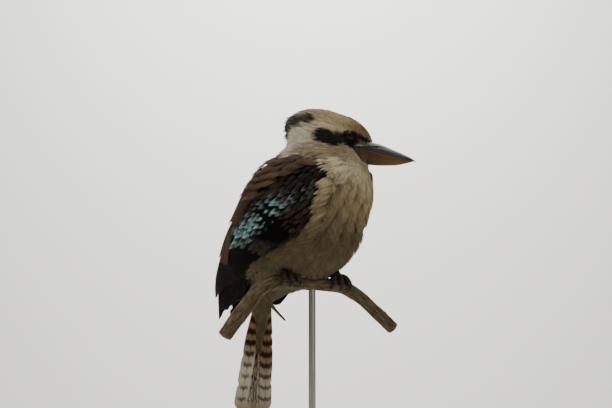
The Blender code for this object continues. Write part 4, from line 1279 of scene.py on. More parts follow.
# %% Lay tufts on the wing
COVERT_ROWS = 20
COVERT_STRANDS = 17
SCAPULAR_ROWS = 9
SCAPULAR_STRANDS = 29
BACK_FRINGE = 40
WING_SKIN_ROWS = 30
WING_SKIN_COLUMNS = 16


def wing_tufts(name, hand, draw, along, around, length, width, rises, turn, tints, strands, **form):
    """Tufts on the wing from their roots along and around it. rises holds heights from root to tip, and turn
    is how many degrees each one drifts round the wing by its tip."""
    rises = np.array(rises)
    t = np.linspace(0, 1, rises.shape[-1])
    runs = along[:, None] + (length / WING_LENGTH)[:, None] * t
    angles = around[:, None] + turn[:, None] * t
    high = rises + draw.uniform(-0.45, 0.55, (len(along), 1)) * t
    centres = wing_point(runs, angles, high, hand)
    beside = wing_point(runs, angles + 1, high, hand)
    ahead = unit(np.gradient(centres, axis=1))
    normals = unit(np.cross(ahead, beside - centres)) * hand
    sides = unit(np.cross(normals, ahead))
    places = stacked(0.5 + hand * (0.05 + 0.4 * along), (around + 40) / 150)
    pieces = make_tufts(
        name, centres, sides, normals, width, strands, tints, 0 * along, places, draw, **form
    )
    return pieces


def staggered(draw, runs, count, low, high, step):
    """Places in rows along the wing, every other row shifted, between two edges given by functions."""
    along, around = [], []
    for row, run in enumerate(np.linspace(*runs, count)):
        bottom, top = low(run), high(run)
        number = max(2, int((top - bottom) / step) + 1)
        angles = np.linspace(bottom, top, number) + (row % 2) * step / 2
        along += list(run + draw.uniform(-0.008, 0.008, number))
        around += list(angles + draw.uniform(-1.4, 1.4, number))
    return np.array(along), np.array(around)


def lower_edge(run):
    return float(wing_edges(np.array(run))[0])


def upper_edge(run):
    return float(wing_edges(np.array(run))[1])


# %% Small coverts with blue tips
BLUE_RUNS = [0.04, 0.12, 0.2, 0.3, 0.4, 0.5, 0.6, 0.68]
BLUE_MIDDLE = [-6, -3, 5, 13, 15, 21, 34, 42]
BLUE_HALF = [5, 10, 11, 10, 10, 11, 8, 5]
BLUE_STRENGTH = [0.2, 0.45, 0.55, 1.0, 1.2, 1.2, 0.7, 0]


def blue_share(along, around):
    """How blue the tips are at a place of the wing."""
    off = (around - np.interp(along, BLUE_RUNS, BLUE_MIDDLE)) / np.interp(along, BLUE_RUNS, BLUE_HALF)
    return np.exp(-(off**2)) * np.interp(along, BLUE_RUNS, BLUE_STRENGTH)


def covert_top(run):
    return min(upper_edge(run), 12 + 62 * run)


def covert_bottom(run):
    return lower_edge(run) + 32 * float(smooth(run, 0.42, 0.56))


def scapular_bottom(run):
    return covert_top(run) + 5


def small_coverts(name, hand, draw):
    tucked = 10 * (hand > 0)
    runs = (0.05 if tucked else -0.025, 0.56)
    along, around = staggered(
        draw, runs, COVERT_ROWS, lambda run: covert_bottom(run) + tucked, covert_top, 6.0
    )
    size = smooth(along, 0.05, 0.35)
    length = (10 + 5 * size) * draw.uniform(0.9, 1.15, len(along))
    width = 4.0 + 1.4 * size
    blue = blue_share(along + 0.06, around + 4) * draw.uniform(0.1 + 0.4 * smooth(along, 0.15, 0.25), 1.6)
    base = mixed(FEATHER["black"], FEATHER["mantle"], draw.uniform(0.0, 0.4, len(along)))
    touch = mixed(FEATHER["grey blue"], FEATHER["turquoise"], smooth(along, 0.12, 0.3))
    tip = mixed(base, touch, np.clip(blue, 0, 1))
    rim = mixed(base, FEATHER["rufous"], 0.15 * draw.random(len(along)))
    tip = np.where((blue < 0.12)[:, None], rim, tip)
    tints = mixed(base[:, None], tip[:, None], np.array([0, 0, 0.05, 0.8, 1.0])[None])
    over = 2.4 * smooth(along, 0.3, 0.42)[:, None]
    rises = np.array([1.0, 2.6, 3.6, 4.3, 4.6]) + over
    return wing_tufts(
        name, hand, draw, along, around, length, width, rises, 6 * size, tints, COVERT_STRANDS,
        splay=0.95, fringe=0.28, fullness=1.35,
    )


# %% Scapulars
def scapular_tufts(name, hand, draw):
    along, around = staggered(draw, (-0.01, 0.4), SCAPULAR_ROWS, scapular_bottom, upper_edge, 9)
    length = draw.uniform(17, 22, len(along)) * (0.8 + 0.2 * smooth(along, 0, 0.2))
    width = draw.uniform(8, 10, len(along))
    base = mixed(FEATHER["mantle"], FEATHER["black"], draw.uniform(0, 0.3, len(along)))
    tip = mixed(FEATHER["mantle"], FEATHER["rufous"], draw.uniform(0.1, 0.8, len(along)))
    tints = mixed(base[:, None], tip[:, None], np.array([0, 0.1, 0.3, 0.7, 1.0])[None])
    return wing_tufts(
        name, hand, draw, along, around, length, width, (1.5, 4.2, 5.6, 6.5, 7.0), 8 + 0 * along, tints,
        SCAPULAR_STRANDS, splay=0.85, fringe=0.4, fullness=1.25,
    )


# %% Fringe round the folded wing
def edge_fringe(name, hand, draw):
    """Body feathers rooted just outside the wing's front, lower and upper edges, with their tips over it. The
    left wing's bend is tucked deeper under them."""
    deep = 0.07 if hand > 0 else 0.0
    front_run, front_angle = staggered(
        draw, (-0.06, -0.035 + deep), 3 + 4 * (hand > 0), lambda run: -34, lambda run: 24, 5
    )
    flank_count = 110 + 60 * (hand > 0)
    flank_run = np.linspace(0.0, 0.62, flank_count) + draw.uniform(-0.01, 0.01, flank_count)
    flank_angle = np.array([lower_edge(run) for run in flank_run]) - draw.uniform(6, 15, flank_count)
    flank_angle += 3 * smooth(flank_run, 0.3, 0.42)
    flank_angle += 14 * (hand > 0) * smooth(flank_run, 0.45, 0.3) * draw.random(flank_count)
    back_run = np.linspace(0.02, 0.42, BACK_FRINGE) + draw.uniform(-0.01, 0.01, BACK_FRINGE)
    back_angle = np.array([upper_edge(run) for run in back_run]) + draw.uniform(-3, 4, BACK_FRINGE)
    along = np.concatenate([front_run, flank_run, back_run])
    around = np.concatenate([front_angle, flank_angle, back_angle])
    turn = np.concatenate([0 * front_run, 5 + 0 * flank_run, -4 + 0 * back_run])
    counts = (len(front_run), flank_count, BACK_FRINGE)
    lengths = ((8, 11), (11, 15), (17, 21))
    widths = ((4, 5.5), (5, 7), (7, 9))
    length = np.concatenate([draw.uniform(*ends, count) for ends, count in zip(lengths, counts)])
    width = np.concatenate([draw.uniform(*ends, count) for ends, count in zip(widths, counts)])
    roots = wing_point(along, around, 2, hand)
    pale = (around < 18) | ((along < 0.1) & (hand > 0))
    before = roots - BACKWARD * 12 * pale[:, None]
    # The fringe's tufts are 0.65 to 0.95 as dark as the plumage they grow from: painted shade along the
    # wing's edge
    tints = np.repeat(marking(before)[0][:, None], 5, axis=1) * draw.uniform(0.65, 0.95, (len(along), 1, 1))
    dark = smooth(around, 18, 28) * ~pale
    tints = mixed(tints, FEATHER["mantle"], np.repeat(dark[:, None], 5, axis=1))
    rises = np.array([-3.0, 1.5, 3.6, 4.6, 5.0]) - np.array([0, 2.4, 4.4, 5.4, 5.8]) * (hand > 0)
    return wing_tufts(
        name, hand, draw, along, around, length, width, rises, turn, tints, COVERT_STRANDS,
        splay=0.9, fringe=0.45, fullness=1.2,
    )


# %% Sheet under the coverts
def wing_sheet(name, hand):
    """The dark sheet of skin and down that the coverts grow from."""
    t = np.linspace(0, 0.66, WING_SKIN_ROWS)
    t, across = np.meshgrid(t, np.linspace(0, 1, WING_SKIN_COLUMNS), indexing="ij")
    along = t * (1 - 0.05 * (2 * across - 1) ** 2)
    lower, upper = wing_edges(along)
    angles = lower + (upper - lower) * across
    high = 0.3 + 1.4 * np.sin(np.pi * across) ** 0.4
    inner = wing_point(along, angles, 0, hand)
    outer = wing_point(along, angles, high, hand)
    size = inner.shape[0] * inner.shape[1]
    quads = grid_faces(*inner.shape[:2])
    rim = rim_of(WING_SKIN_ROWS, WING_SKIN_COLUMNS)
    after = np.roll(rim, -1)
    walls = stacked(rim + size, rim, after, after + size)
    faces = np.concatenate([halved(quads), halved(quads[:, ::-1]) + size, halved(walls)])
    points = np.concatenate([inner.reshape(-1, 3), outer.reshape(-1, 3)])
    tucked = np.tile(smooth(along, 0.14, 0.07).reshape(-1), 2) * (hand > 0)
    colours = mixed(FEATHER["black"], FEATHER["breast"], tucked)
    flat = np.tile(stacked(along, across).reshape(-1, 2), (2, 1)) * 100
    return make_piece(name, points, faces, vane_finish, colours, {"vane": flat})


# %% Build both wings
for label, hand in SIDES:
    draw = np.random.default_rng(SEED)
    sheet = wing_sheet("wing_sheet_" + label, hand)
    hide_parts("wing_" + label)
    for tract_name, tract in WING_TRACTS.items():
        lay_tract(tract_name + "_" + label, tract, hand, VANE_ROWS, draw)
    small_coverts("small_coverts_" + label, hand, draw)
    scapular_tufts("scapular_tufts_" + label, hand, draw)
    edge_fringe("wing_fringe_" + label, hand, draw)

# %% [markdown]
# ## Tail
# Twelve broad feathers hang below the branch, folded into a narrow fan with the outer ones underneath. They
# are rufous with black bars near the body and turn whitish with thin bars and white tips further down, with
# painted shadow along their edges there. Cream undertail coverts, painted darker as shade, lie over their
# roots.

# %% Sizes of the tail
TAIL_ROOT = np.array([-63.0, 0, 16])
TAIL_TIP = np.array([-83.0, 0, -132])
TAIL_LENGTH = np.linalg.norm(TAIL_TIP - TAIL_ROOT)
TAIL_LINE = (TAIL_TIP - TAIL_ROOT) / TAIL_LENGTH
TAIL_UNDER = np.array([-TAIL_LINE[2], 0, TAIL_LINE[0]])
TAIL_PAIRS = 6
TAIL_START = 30
TAIL_FEATHER_WIDTH = 20
TAIL_TIP_OFFSETS = (2.5, 18.5)
TAIL_ROOT_OFFSETS = (1, 7)
TAIL_LAYER = 0.92
TAIL_ROWS = 84
BAR_SPACING = 11.5
BAR_SHARE = 0.54


def tail_point(run, across, under):
    run, across, under = np.broadcast_arrays(run, across, under)
    return (
        TAIL_ROOT
        + run[..., None] * TAIL_LINE
        + across[..., None] * np.array([0, 1, 0])
        + under[..., None] * TAIL_UNDER
    )


# %% Colours of a tail feather
def tail_paint(run, across, outer, draw):
    """Bars along a tail feather: rufous and black above, whitish below, with a ragged edge to each bar."""
    shift = draw.uniform(-0.22, 0.22)
    wave = run + 2.2 * np.abs(across) ** 2 + 0.7 * np.sin(across * 9 + draw.uniform(0, 6))
    phase = (wave / BAR_SPACING + shift) % 1
    late = draw.uniform(-9, 9) + 6 * across**2
    low = smooth(run + late, 98 - 22 * outer, 136 - 20 * outer)
    thin = BAR_SHARE * (1 - 0.35 * low)
    bar = smooth(phase, thin + 0.06, thin - 0.06) * smooth(phase, -0.02, 0.08)
    reach = 1.1 - 0.4 * low * draw.uniform(0.0, 1)
    bar = bar * smooth(np.abs(across), reach, reach - 0.3)
    brown = mixed(FEATHER["rufous"] * 1.3, FEATHER["buff"] * 0.7, 0.5)
    rim = smooth(np.abs(across), 0.5, 0.95)
    ground = mixed(brown, mixed(FEATHER["rufous"] * 1.9, FEATHER["buff"], 0.25), rim * (0.35 + 0.65 * outer))
    ground = mixed(ground, FEATHER["nape"] * draw.uniform(0.75, 1.0), low)
    shaft = np.exp(-((across / 0.05) ** 2))
    ground = mixed(ground, FEATHER["black"], 0.6 * shaft)
    tip = smooth(run, TAIL_LENGTH - 19, TAIL_LENGTH - 14)
    colour = mixed(ground, FEATHER["black"], bar * (0.95 - 0.25 * low) * (1 - tip))
    # Painted shadow: lower down each feather darkens along its edges, where the gaps between the overlapping
    # tail feathers fall dark
    edge = smooth(np.abs(across), 0.8, 0.93) * smooth(run, 60, 90) * (0.6 + 0.4 * (outer < 1))
    colour = mixed(colour, FEATHER["black"], 0.95 * edge * (1 - tip))
    return mixed(colour, FEATHER["cream"] * 1.1, tip)


# %% Build the tail
def lay_tail():
    draw = np.random.default_rng(SEED)
    grids, colours, maps = [], [], []
    level = -TAIL_LAYER * (TAIL_PAIRS + 1) / 2
    t, wide = vane_outline(TAIL_ROWS, 0.075, 0.65)
    for pair in range(TAIL_PAIRS):
        share = pair / (TAIL_PAIRS - 1)
        root_middle = np.interp(share, [0, 1], TAIL_ROOT_OFFSETS)
        tip_middle = np.interp(share, [0, 1], TAIL_TIP_OFFSETS)
        for hand in (-1, 1):
            length = TAIL_LENGTH * (1 - 0.07 * share**2) + draw.uniform(-1.5, 1.5)
            run = TAIL_START + (length - TAIL_START) * t
            half = TAIL_FEATHER_WIDTH / 2 * wide
            across = off_shaft_places(half, t, draw, 5, 0.22)
            middle = hand * (root_middle + (tip_middle - root_middle) * t)
            under = np.interp(t, [0, 1], (level * 0.6, level))[:, None]
            under = under - 0.3 * VANE_COLUMNS**2 + 0.22 * SHAFT_RIDGE
            under = under + 0.15 * np.sin(t[:, None] * 17 + pair * 2 + hand) * VANE_COLUMNS
            points = tail_point(run[:, None], middle[:, None] + across, under)
            grids.append((points, grid_normals(points)))
            colour = tail_paint(run[:, None] + 0 * across, VANE_COLUMNS + 0 * across, share, draw)
            colour = colour * draw.uniform(0.92, 1.08)
            flat = stacked(across, run[:, None])
            colours += [colour.reshape(-1, 3)] * 2
            maps += [flat.reshape(-1, 2)] * 2
            if pair < 2:
                level += TAIL_LAYER
        if pair >= 2:
            level += TAIL_LAYER
    points, faces = vane_shells(grids, VANE_THICKNESS)
    piece = make_piece(
        "tail_feathers", points, faces, vane_finish, np.concatenate(colours), {"vane": np.concatenate(maps)}
    )
    print("tail feathers:", len(faces), "triangles")
    return piece


tail_feathers = lay_tail()
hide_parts("tail")

# %% [markdown]
# ## Tail coverts
# Above and below the tail's root, short soft feathers cover the quills: cream ones below, painted darker as
# shade with the vent's colour, and dark ones above.

# %% Grow the tail coverts
TAIL_COVERT_STRANDS = 19
# Name, side, count, runs, spread, colour and heights
COVERT_SETS = [
    # The undertail coverts take the vent's colour, which holds painted shade
    ("undertail", 1, 120, (8, 66), 14.0, "vent", (0.5, 8.0)),
    ("uppertail", -1, 60, (8, 52), 11.0, "mantle", (0.5, 7.0)),
]


def tail_coverts(name, side, count, runs, spread, colour_name, heights, draw):
    root_run = np.sort(draw.uniform(*runs, count))
    place = draw.uniform(-1, 1, count)
    t = np.linspace(0, 1, COAT_ROWS)
    length = draw.uniform(15, 21, count)
    run = root_run[:, None] + length[:, None] * t
    across = place[:, None] * spread * (1 - 0.8 * smooth(run, runs[0] + 8, runs[1] + 20))
    high = np.interp(root_run, runs, (heights[1], heights[0] + 4.5))
    under = high[:, None] - 2.5 + 2.9 * t**0.7 - 2.6 * (place**2)[:, None] - 0.03 * length[:, None] * t
    under = side * under
    centres = tail_point(run, across, under)
    normals = np.broadcast_to(TAIL_UNDER * side, centres.shape) + place[:, None, None] * np.array([0, 0.8, 0])
    normals = unit(normals)
    ahead = unit(np.gradient(centres, axis=1))
    sides = unit(np.cross(normals, ahead))
    colour = np.repeat(FEATHER[colour_name][None], count, axis=0) * draw.uniform(0.88, 1.08, (count, 1))
    places = stacked(0.5 + place * 0.2 + 0.25 * side, root_run / 100)
    width = np.full(count, 7.5)
    return make_tufts(
        name, centres, sides, normals, width, TAIL_COVERT_STRANDS, colour[:, None], 0 * width, places, draw
    )


for name, side, count, runs, spread, colour_name, heights in COVERT_SETS:
    draw = np.random.default_rng(SEED + side)
    for piece in tail_coverts(name, side, count, runs, spread, colour_name, heights, draw):
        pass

# %% [markdown]
# ## Bill
# A kookaburra's bill is long, broad and deep, flattened from above, with a dark upper half over a pale lower
# half. Each half is a horn sheath: arched rings from the mouth line out, closed by a flat edge where the
# halves meet. A rim runs along each cutting edge, a shallow groove runs forward from the nostril, and the
# nostril is a slanted pit with a raised lid over it.

# %% Sizes of the bill
BILL_ROOT = 34
BILL_TIP = 91
LOWER_BILL_TIP = 88
BILL_X = [34, 44.5, 53, 63, 73, 83, 88, 91]
CULMEN = [7.2, 7.0, 6.3, 4.6, 2.9, 0.8, -0.6, -2.0]
MOUTH = [-2.2, -2.4, -2.7, -3.0, -2.9, -2.3, -2.3, -2.6]
JAW = [-15.2, -15.4, -14.4, -12.4, -9.8, -5.4, -3.0, -2.8]
BILL_HALF_WIDTH = [9.4, 8.6, 7.4, 5.9, 4.2, 2.4, 1.4, 0.5]
MOUTH_GAP = 0.15
NOSTRIL = (50.5, 2.2)
BILL_ROWS = 150
ARCH_SIDES = 61
FLOOR_SIDES = 9
GAPE_ROWS = 28
GAPE_COLUMNS = 12


def bill_places(points):
    """Places on the map of the horn: the share of the bill's length, and the turn round its mouth line."""
    length = (points[:, 0] - BILL_ROOT) / (BILL_TIP - BILL_ROOT)
    turn = np.arctan2(points[:, 2] + 2.6, points[:, 1]) / np.pi
    return stacked(length, turn)


# %% Sheath of one half of the bill
def bill_sheath(name, edge, tip, mouth_gap, finish):
    share = np.sin(np.linspace(0, 1, BILL_ROWS) * np.pi / 2)
    x = BILL_ROOT - 2.5 + (tip - 0.7 - BILL_ROOT + 2.5) * share
    along = np.clip(x, BILL_X[0], BILL_X[-1])
    mouth = np.interp(along, BILL_X, MOUTH) + mouth_gap
    width = np.interp(along, BILL_X, BILL_HALF_WIDTH)
    height = curve(along, BILL_X, edge) - mouth
    angles = np.linspace(0, np.pi, ARCH_SIDES)
    rise = np.sin(angles) ** 0.85
    y = width[:, None] * np.cos(angles)
    z = mouth[:, None] + height[:, None] * rise
    outward = stacked(np.cos(angles), np.sin(angles))
    rim = 0.22 * np.exp(-(((rise - 0.08) / 0.05) ** 2)) - 0.16 * np.exp(-(((rise - 0.22) / 0.07) ** 2))
    relief = rim[None] * smooth(x, 90, 70)[:, None] * smooth(x, 36, 46)[:, None]
    if edge is CULMEN:
        dx = x[:, None] - NOSTRIL[0]
        dz = z - NOSTRIL[1]
        slant = dz - 0.22 * dx
        pit = np.exp(-((dx / 2.3) ** 2) - (slant / 0.75) ** 2)
        lid = np.exp(-((dx / 2.8) ** 2) - ((slant - 1.15) / 0.5) ** 2)
        groove = np.exp(-(((slant + 0.1 * dx) / 0.8) ** 2)) * smooth(dx, 1, 5) * smooth(dx, 24, 8)
        relief = relief - 1.1 * pit + 0.28 * lid - 0.14 * groove
        ridge = np.exp(-(((angles - np.pi / 2) / 0.2) ** 2))
        relief = relief + 0.15 * ridge * smooth(x, 44, 52)[:, None] * smooth(x, 90, 80)[:, None]
    waves = np.sin(x * 1.9)[:, None] * np.sin(angles * 5 + x[:, None] * 0.3)
    relief = relief + 0.035 * waves * smooth(x, 60, 42)[:, None]
    y = y + outward[:, 0] * relief
    z = z + outward[:, 1] * relief * np.sign(height)[:, None]
    arch = stacked(x[:, None], y, z)
    inner = np.linspace(-1, 1, FLOOR_SIDES + 2)[1:-1]
    bulge = np.sign(height)[:, None] * 0.35 * (1 - inner**2) * width[:, None] / 9
    floor = stacked(x[:, None], width[:, None] * inner, mouth[:, None] + bulge)
    rings = np.concatenate([arch, floor], axis=1)
    first = rings[0].mean(axis=0)
    last = rings[-1].mean(axis=0) + np.array([0.7, 0, 0])
    points, faces = closed_rings(rings, first, last)
    sheath = make_piece(name, from_head(points), faces, finish, None, {"bill": bill_places(points)})
    print(name + ":", len(faces), "triangles")
    return sheath


# %% Horn at the corner of the mouth
def gape_horn(name, edge, hand, finish):
    """The sheath's thin rear corner, which lies on the side of the face back to below the eye."""
    x = np.linspace(GAPE_X[0], 46.5, GAPE_ROWS)
    x, v = np.meshgrid(x, np.linspace(0, 1, GAPE_COLUMNS), indexing="ij")
    mouth = np.interp(x, GAPE_X, GAPE_MOUTH) + 0.08 * np.sign(np.interp(x, GAPE_X, edge) + 3.6)
    z = mouth + (np.interp(x, GAPE_X, edge) - mouth) * v
    middle = from_head(stacked(x, 0 * x, z))
    side = np.broadcast_to(HEAD_TURN @ np.array([0.0, hand, 0]), middle.shape)
    skin_y = np.where(skin_distance(middle) < 0, way_out(skin_distance, middle, side, 40), 0)
    jaw = np.interp(x, BILL_X, CULMEN if edge is GAPE_TOP else JAW)
    rise = np.clip((z - mouth) / (jaw - mouth), 0, 0.98) ** (1 / 0.85)
    bill_y = np.interp(x, BILL_X, BILL_HALF_WIDTH) * np.sqrt(1 - rise**2)
    bulge = 1.3 * np.sqrt(np.clip(1 - v**3, 0.05, 1)) * smooth(x, GAPE_X[0] - 1, GAPE_X[0] + 4)
    y = -blended(-(skin_y + bulge), -(bill_y + 0.05), 1.6) - 1.2 * smooth(x, 43.5, 46.5)
    outer = stacked(x, hand * y, z).reshape(-1, 3)
    inner = stacked(x, hand * (y - 2.2), z).reshape(-1, 3)
    points = np.concatenate([outer, inner])
    faces = plate_faces(GAPE_ROWS, GAPE_COLUMNS)
    return make_piece(name, from_head(points), faces, finish, None, {"bill": bill_places(points)})


# %% Build the bill's pieces
upper_bill = bill_sheath("bill_upper_sheath", CULMEN, BILL_TIP, MOUTH_GAP, dark_horn)
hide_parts("bill_upper")
lower_bill = bill_sheath("bill_lower_sheath", JAW, LOWER_BILL_TIP, -MOUTH_GAP, pale_horn)
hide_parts("bill_lower")
for label, hand in SIDES:
    gape_horn("gape_upper_" + label, GAPE_TOP, hand, dark_horn)
    gape_horn("gape_lower_" + label, GAPE_FOOT, hand, pale_horn)

# %% [markdown]
# ## Eyes and lids
# Each eye is a whole ball, as a museum's glass eye is, so that it never shows an edge under its lids. The
# lids are a thin ring of bare dark skin with short creases across it, a little thicker above, where the
# brow shades it. The smallest feathers of the head's coat stand round its edge.

# %% Eyes
EYE_ROWS = 48
EYE_SIDES = 72
LID_SIDES = 180
LID_SECTION = 16
LID_REACH = 0.72
LID_THICKNESS = 0.27
LID_CREASES = 37


def eye_turn(hand):
    """Turns +X to the way that the eye looks out."""
    return HEAD_TURN @ turn_z(hand * 72)


def eye_place(hand):
    x, y, z = EYE_CENTRE
    return from_head((x, hand * y, z))


def make_eye(label, hand):
    polar = np.linspace(0, np.pi, EYE_ROWS + 2)[1:-1]
    around = circle_angles(EYE_SIDES)
    bulge = 1 + 0.035 * np.exp(-((polar / 0.55) ** 2))
    across = np.sin(polar)[:, None]
    ball = stacked((np.cos(polar) * bulge)[:, None], across * np.cos(around), across * np.sin(around))
    rings = ball * EYE_RADIUS @ eye_turn(hand).T + eye_place(hand)
    poles = np.array([[1.035, 0, 0], [-1.0, 0, 0]]) * EYE_RADIUS @ eye_turn(hand).T + eye_place(hand)
    points, faces = closed_rings(rings, poles[0], poles[1])
    off_axis = np.append(np.repeat(np.minimum(polar / (np.pi / 2), 1), EYE_SIDES), [0, 1])
    turned = np.append(np.tile(around / (2 * np.pi), EYE_ROWS), [0, 0])
    maps = {"eye": stacked(off_axis, turned)}
    eye = make_piece("eye_glass_" + label, points, faces, eye_glass, None, maps)
    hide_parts("eye_" + label)
    return eye


# %% Lids
def make_lid(label, hand):
    """A tube of skin round the eye's opening, which is drawn out into a corner in front and behind."""
    around = circle_angles(LID_SIDES)[:, None]
    section = circle_angles(LID_SECTION)
    upper = np.clip(np.sin(around), 0, 1)
    opening = np.radians(45 + 8 * np.abs(np.cos(around)) ** 3 - 4 * upper)
    crease = 0.035 * np.sin(around * LID_CREASES + 2.4 * np.sin(around * 3)) * np.sin(section) ** 2
    outside = np.clip(np.cos(section), 0, 1)
    wide = (LID_REACH * (1 + 0.3 * upper) + crease) * np.cos(section) * (0.5 + outside)
    high = (LID_THICKNESS * (1 + 0.5 * upper) + crease) * np.sin(section) * (1 - 0.5 * outside)
    polar = opening + wide / EYE_RADIUS
    reach = EYE_RADIUS + 0.06 + high
    ways = [np.cos(polar), np.sin(polar) * np.cos(around), np.sin(polar) * np.sin(around)]
    points = stacked(*[reach * way for way in ways]) @ eye_turn(hand).T + eye_place(hand)
    i, j = np.meshgrid(np.arange(LID_SIDES), np.arange(LID_SECTION), indexing="ij")
    k, m = (i + 1) % LID_SIDES, (j + 1) % LID_SECTION
    quads = stacked(i, k, k, i) * LID_SECTION + stacked(j, j, m, m)
    lid = make_piece("lid_" + label, points.reshape(-1, 3), halved(quads.reshape(-1, 4)[:, ::-1]), lid_skin)
    return lid


# %% Build both eyes
for label, hand in SIDES:
    make_eye(label, hand)
    make_lid(label, hand)
print("eyes:", EYE_RADIUS * 2, "mm across")

# %% [markdown]
# ## Crest
# At the back of the crown the feathers are twice as long as the rest and loose, so they stand off in ragged
# spikes over the nape, with dark middles. They follow the lie of the head's coat, but each lies between
# hugging the skin and running straight on, which lifts its tip more where the nape falls away.

# %% Grow the crest
CREST_SPACING = 3.1
CREST_ROWS = 6
CREST_STRANDS = 11
CREST_LENGTH = (15, 23)
CREST_STRAIGHT = (0.1, 0.5)


def crest_region(points):
    """How strongly places belong to the crest."""
    head = to_head(points)
    over = smooth(head[..., 2], -4, 8)
    return smooth(head[..., 0], 8, -12) * over


draw = np.random.default_rng(SEED)
on_crest = on_head[crest_region(on_head) > 0.15]
roots = on_crest[spread_out(on_crest, np.full(len(on_crest), CREST_SPACING))]
strength = crest_region(roots)
normals = normals_of(skin_distance, roots)
lies = lie_of(roots, normals)
length = draw.uniform(*CREST_LENGTH, len(roots)) * (0.55 + 0.45 * strength)
nape = smooth(to_head(roots)[:, 2], 20, 8)
lift = (0.5 + 2.2 * strength * nape) * draw.uniform(0.4, 1.4, len(roots))
across = unit(np.cross(normals, lies))
pull = across * draw.normal(0, 0.1, (len(roots), 1))
centres, sides, normals = tuft_lines(roots, lies, length, coat_depth(roots), lift, CREST_ROWS, pull)
tints, _ = marking(centres - normals * lift[:, None, None])
heading = unit(centres[:, 2] - centres[:, 0])
t = np.linspace(0, 1, CREST_ROWS)
straight = centres[:, :1] + heading[:, None] * (length[:, None] * t)[..., None]
share = CREST_STRAIGHT[0] + (CREST_STRAIGHT[1] - CREST_STRAIGHT[0]) * nape
straight = mixed(centres, straight, share[:, None] * t)
pale = (draw.random(len(roots)) < 0.09)[:, None, None] & (to_head(centres)[..., 2:] < 24)
tints = np.where(pale, np.maximum(tints, FEATHER["buff"] * 0.75), tints)
streaks = np.full(len(roots), 0.6)
crest = make_tufts(
    "crest", straight, sides, normals, draw.uniform(3.4, 4.6, len(roots)), CREST_STRANDS, tints,
    streaks, head_unwrap(roots), draw, splay=0.65, fringe=0.5,
)

# %% [markdown]
# ## Perch
# The perch is a forked dead branch. Its bark has lengthwise furrows and low warts, which stand in the mesh,
# while the finest cracks are left to the material. The cut ends are slightly rounded, with the same bark
# finish as the rest.

# %% Sizes of the perch
PERCH_YAW = 28
PERCH_RADIUS = 7.2
PERCH_TURN = turn_z(PERCH_YAW - BODY_YAW)
# Run along the branch, rise, and thickness as a share of PERCH_RADIUS
PERCH_ROUTE = [
    (-94, -55, 1.04),
    (-76, -31, 1.05),
    (-58, -10, 1.1),
    (-42, -1, 1.0),
    (-14, 0, 0.97),
    (14, 0, 0.96),
    (36, -1.5, 1.0),
    (54, -10, 0.96),
    (74, -25, 0.93),
    (94, -41, 0.9),
]
PERCH_ROWS = 320
PERCH_SIDES = 90
TWIG_ROWS = 90
TWIG_SIDES = 28
TWIG_START = (-54, -10)
TWIG_LENGTH = 42
TWIG_SLOPE = -55
TWIG_RADIUS = 2.6


def perch_line(at):
    """Points of the branch's centre line for runs along it, in the bird's frame."""
    runs, rises, _ = zip(*PERCH_ROUTE)
    at = np.asarray(at, float)
    return stacked(at, 0 * at, curve(at, runs, rises)) @ PERCH_TURN.T


def perch_radius(at):
    runs, _, shares = zip(*PERCH_ROUTE)
    return PERCH_RADIUS * curve(at, runs, shares)


def noise_sheet(rows, columns, row_cells, column_cells, draw):
    """Smooth noise between -1 and 1 over a grid that closes round its columns."""
    lattice = draw.uniform(-1, 1, (row_cells + 2, column_cells))
    a = np.linspace(0, row_cells, rows)
    b = np.arange(columns) / columns * column_cells
    i = np.minimum(a.astype(int), row_cells)
    j = b.astype(int) % column_cells
    u = smooth(a - i, 0, 1)[:, None]
    v = smooth(b - b.astype(int), 0, 1)[None]
    k = (j + 1) % column_cells
    near = lattice[np.ix_(i, j)] * (1 - v) + lattice[np.ix_(i, k)] * v
    far = lattice[np.ix_(i + 1, j)] * (1 - v) + lattice[np.ix_(i + 1, k)] * v
    return near * (1 - u) + far * u


# %% Branches of bark
def bark_tube(name, line, radii, sides, relief, draw):
    """A closed branch of bark. relief is how far its furrows and warts stand, in millimetres."""
    rings = swept(line, radii, sides)
    rows = len(line)
    length = lengths_along(line)
    outward = unit(rings - line[:, None])
    furrows = noise_sheet(rows, sides, rows // 16, sides // 4, draw)
    lumps = noise_sheet(rows, sides, rows // 24 + 1, 5, draw)
    warts = np.maximum(noise_sheet(rows, sides, rows // 6, sides // 6, draw) - 0.55, 0) * 2
    raised = relief * (0.5 * furrows + 0.5 * lumps + 0.9 * warts - 0.55)
    round_ends = 1 - 0.35 * np.exp(-np.minimum(length, length[-1] - length) / 0.5)
    rings = line[:, None] + (rings - line[:, None]) * round_ends[:, None, None] + outward * raised[..., None]
    points, faces = closed_rings(rings, line[0], line[-1])
    around = circle_angles(sides) * radii.mean()
    flat = stacked(length[:, None], around).reshape(-1, 2)
    flat = np.concatenate([flat, [[0, 0], [length[-1], 0]]])
    return make_piece(name, points, faces, bark, None, {"bark": flat})


# %% Build the branch and its twig
draw = np.random.default_rng(SEED)
at = np.linspace(PERCH_ROUTE[0][0], PERCH_ROUTE[-1][0], PERCH_ROWS)
perch = bark_tube("perch_bark", perch_line(at), perch_radius(at), PERCH_SIDES, 0.7, draw)
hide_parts("perch")
at = np.linspace(0, TWIG_LENGTH, TWIG_ROWS)
run, rise = TWIG_START
slope = radians(TWIG_SLOPE)
heights = rise + at * sin(slope) + 0.004 * at**2
line = stacked(run + at * cos(slope), 0.8 * np.sin(at / 9), heights)
radii = TWIG_RADIUS * (0.85 + 0.75 * np.exp(-at / 5) - 0.0095 * at + 0.1 * np.exp(-(((at - 21) / 2) ** 2)))
twig = bark_tube("perch_twig", line @ PERCH_TURN.T, radii, TWIG_SIDES, 0.35, draw)
print("perch:", PERCH_ROWS * PERCH_SIDES * 2, "triangles")

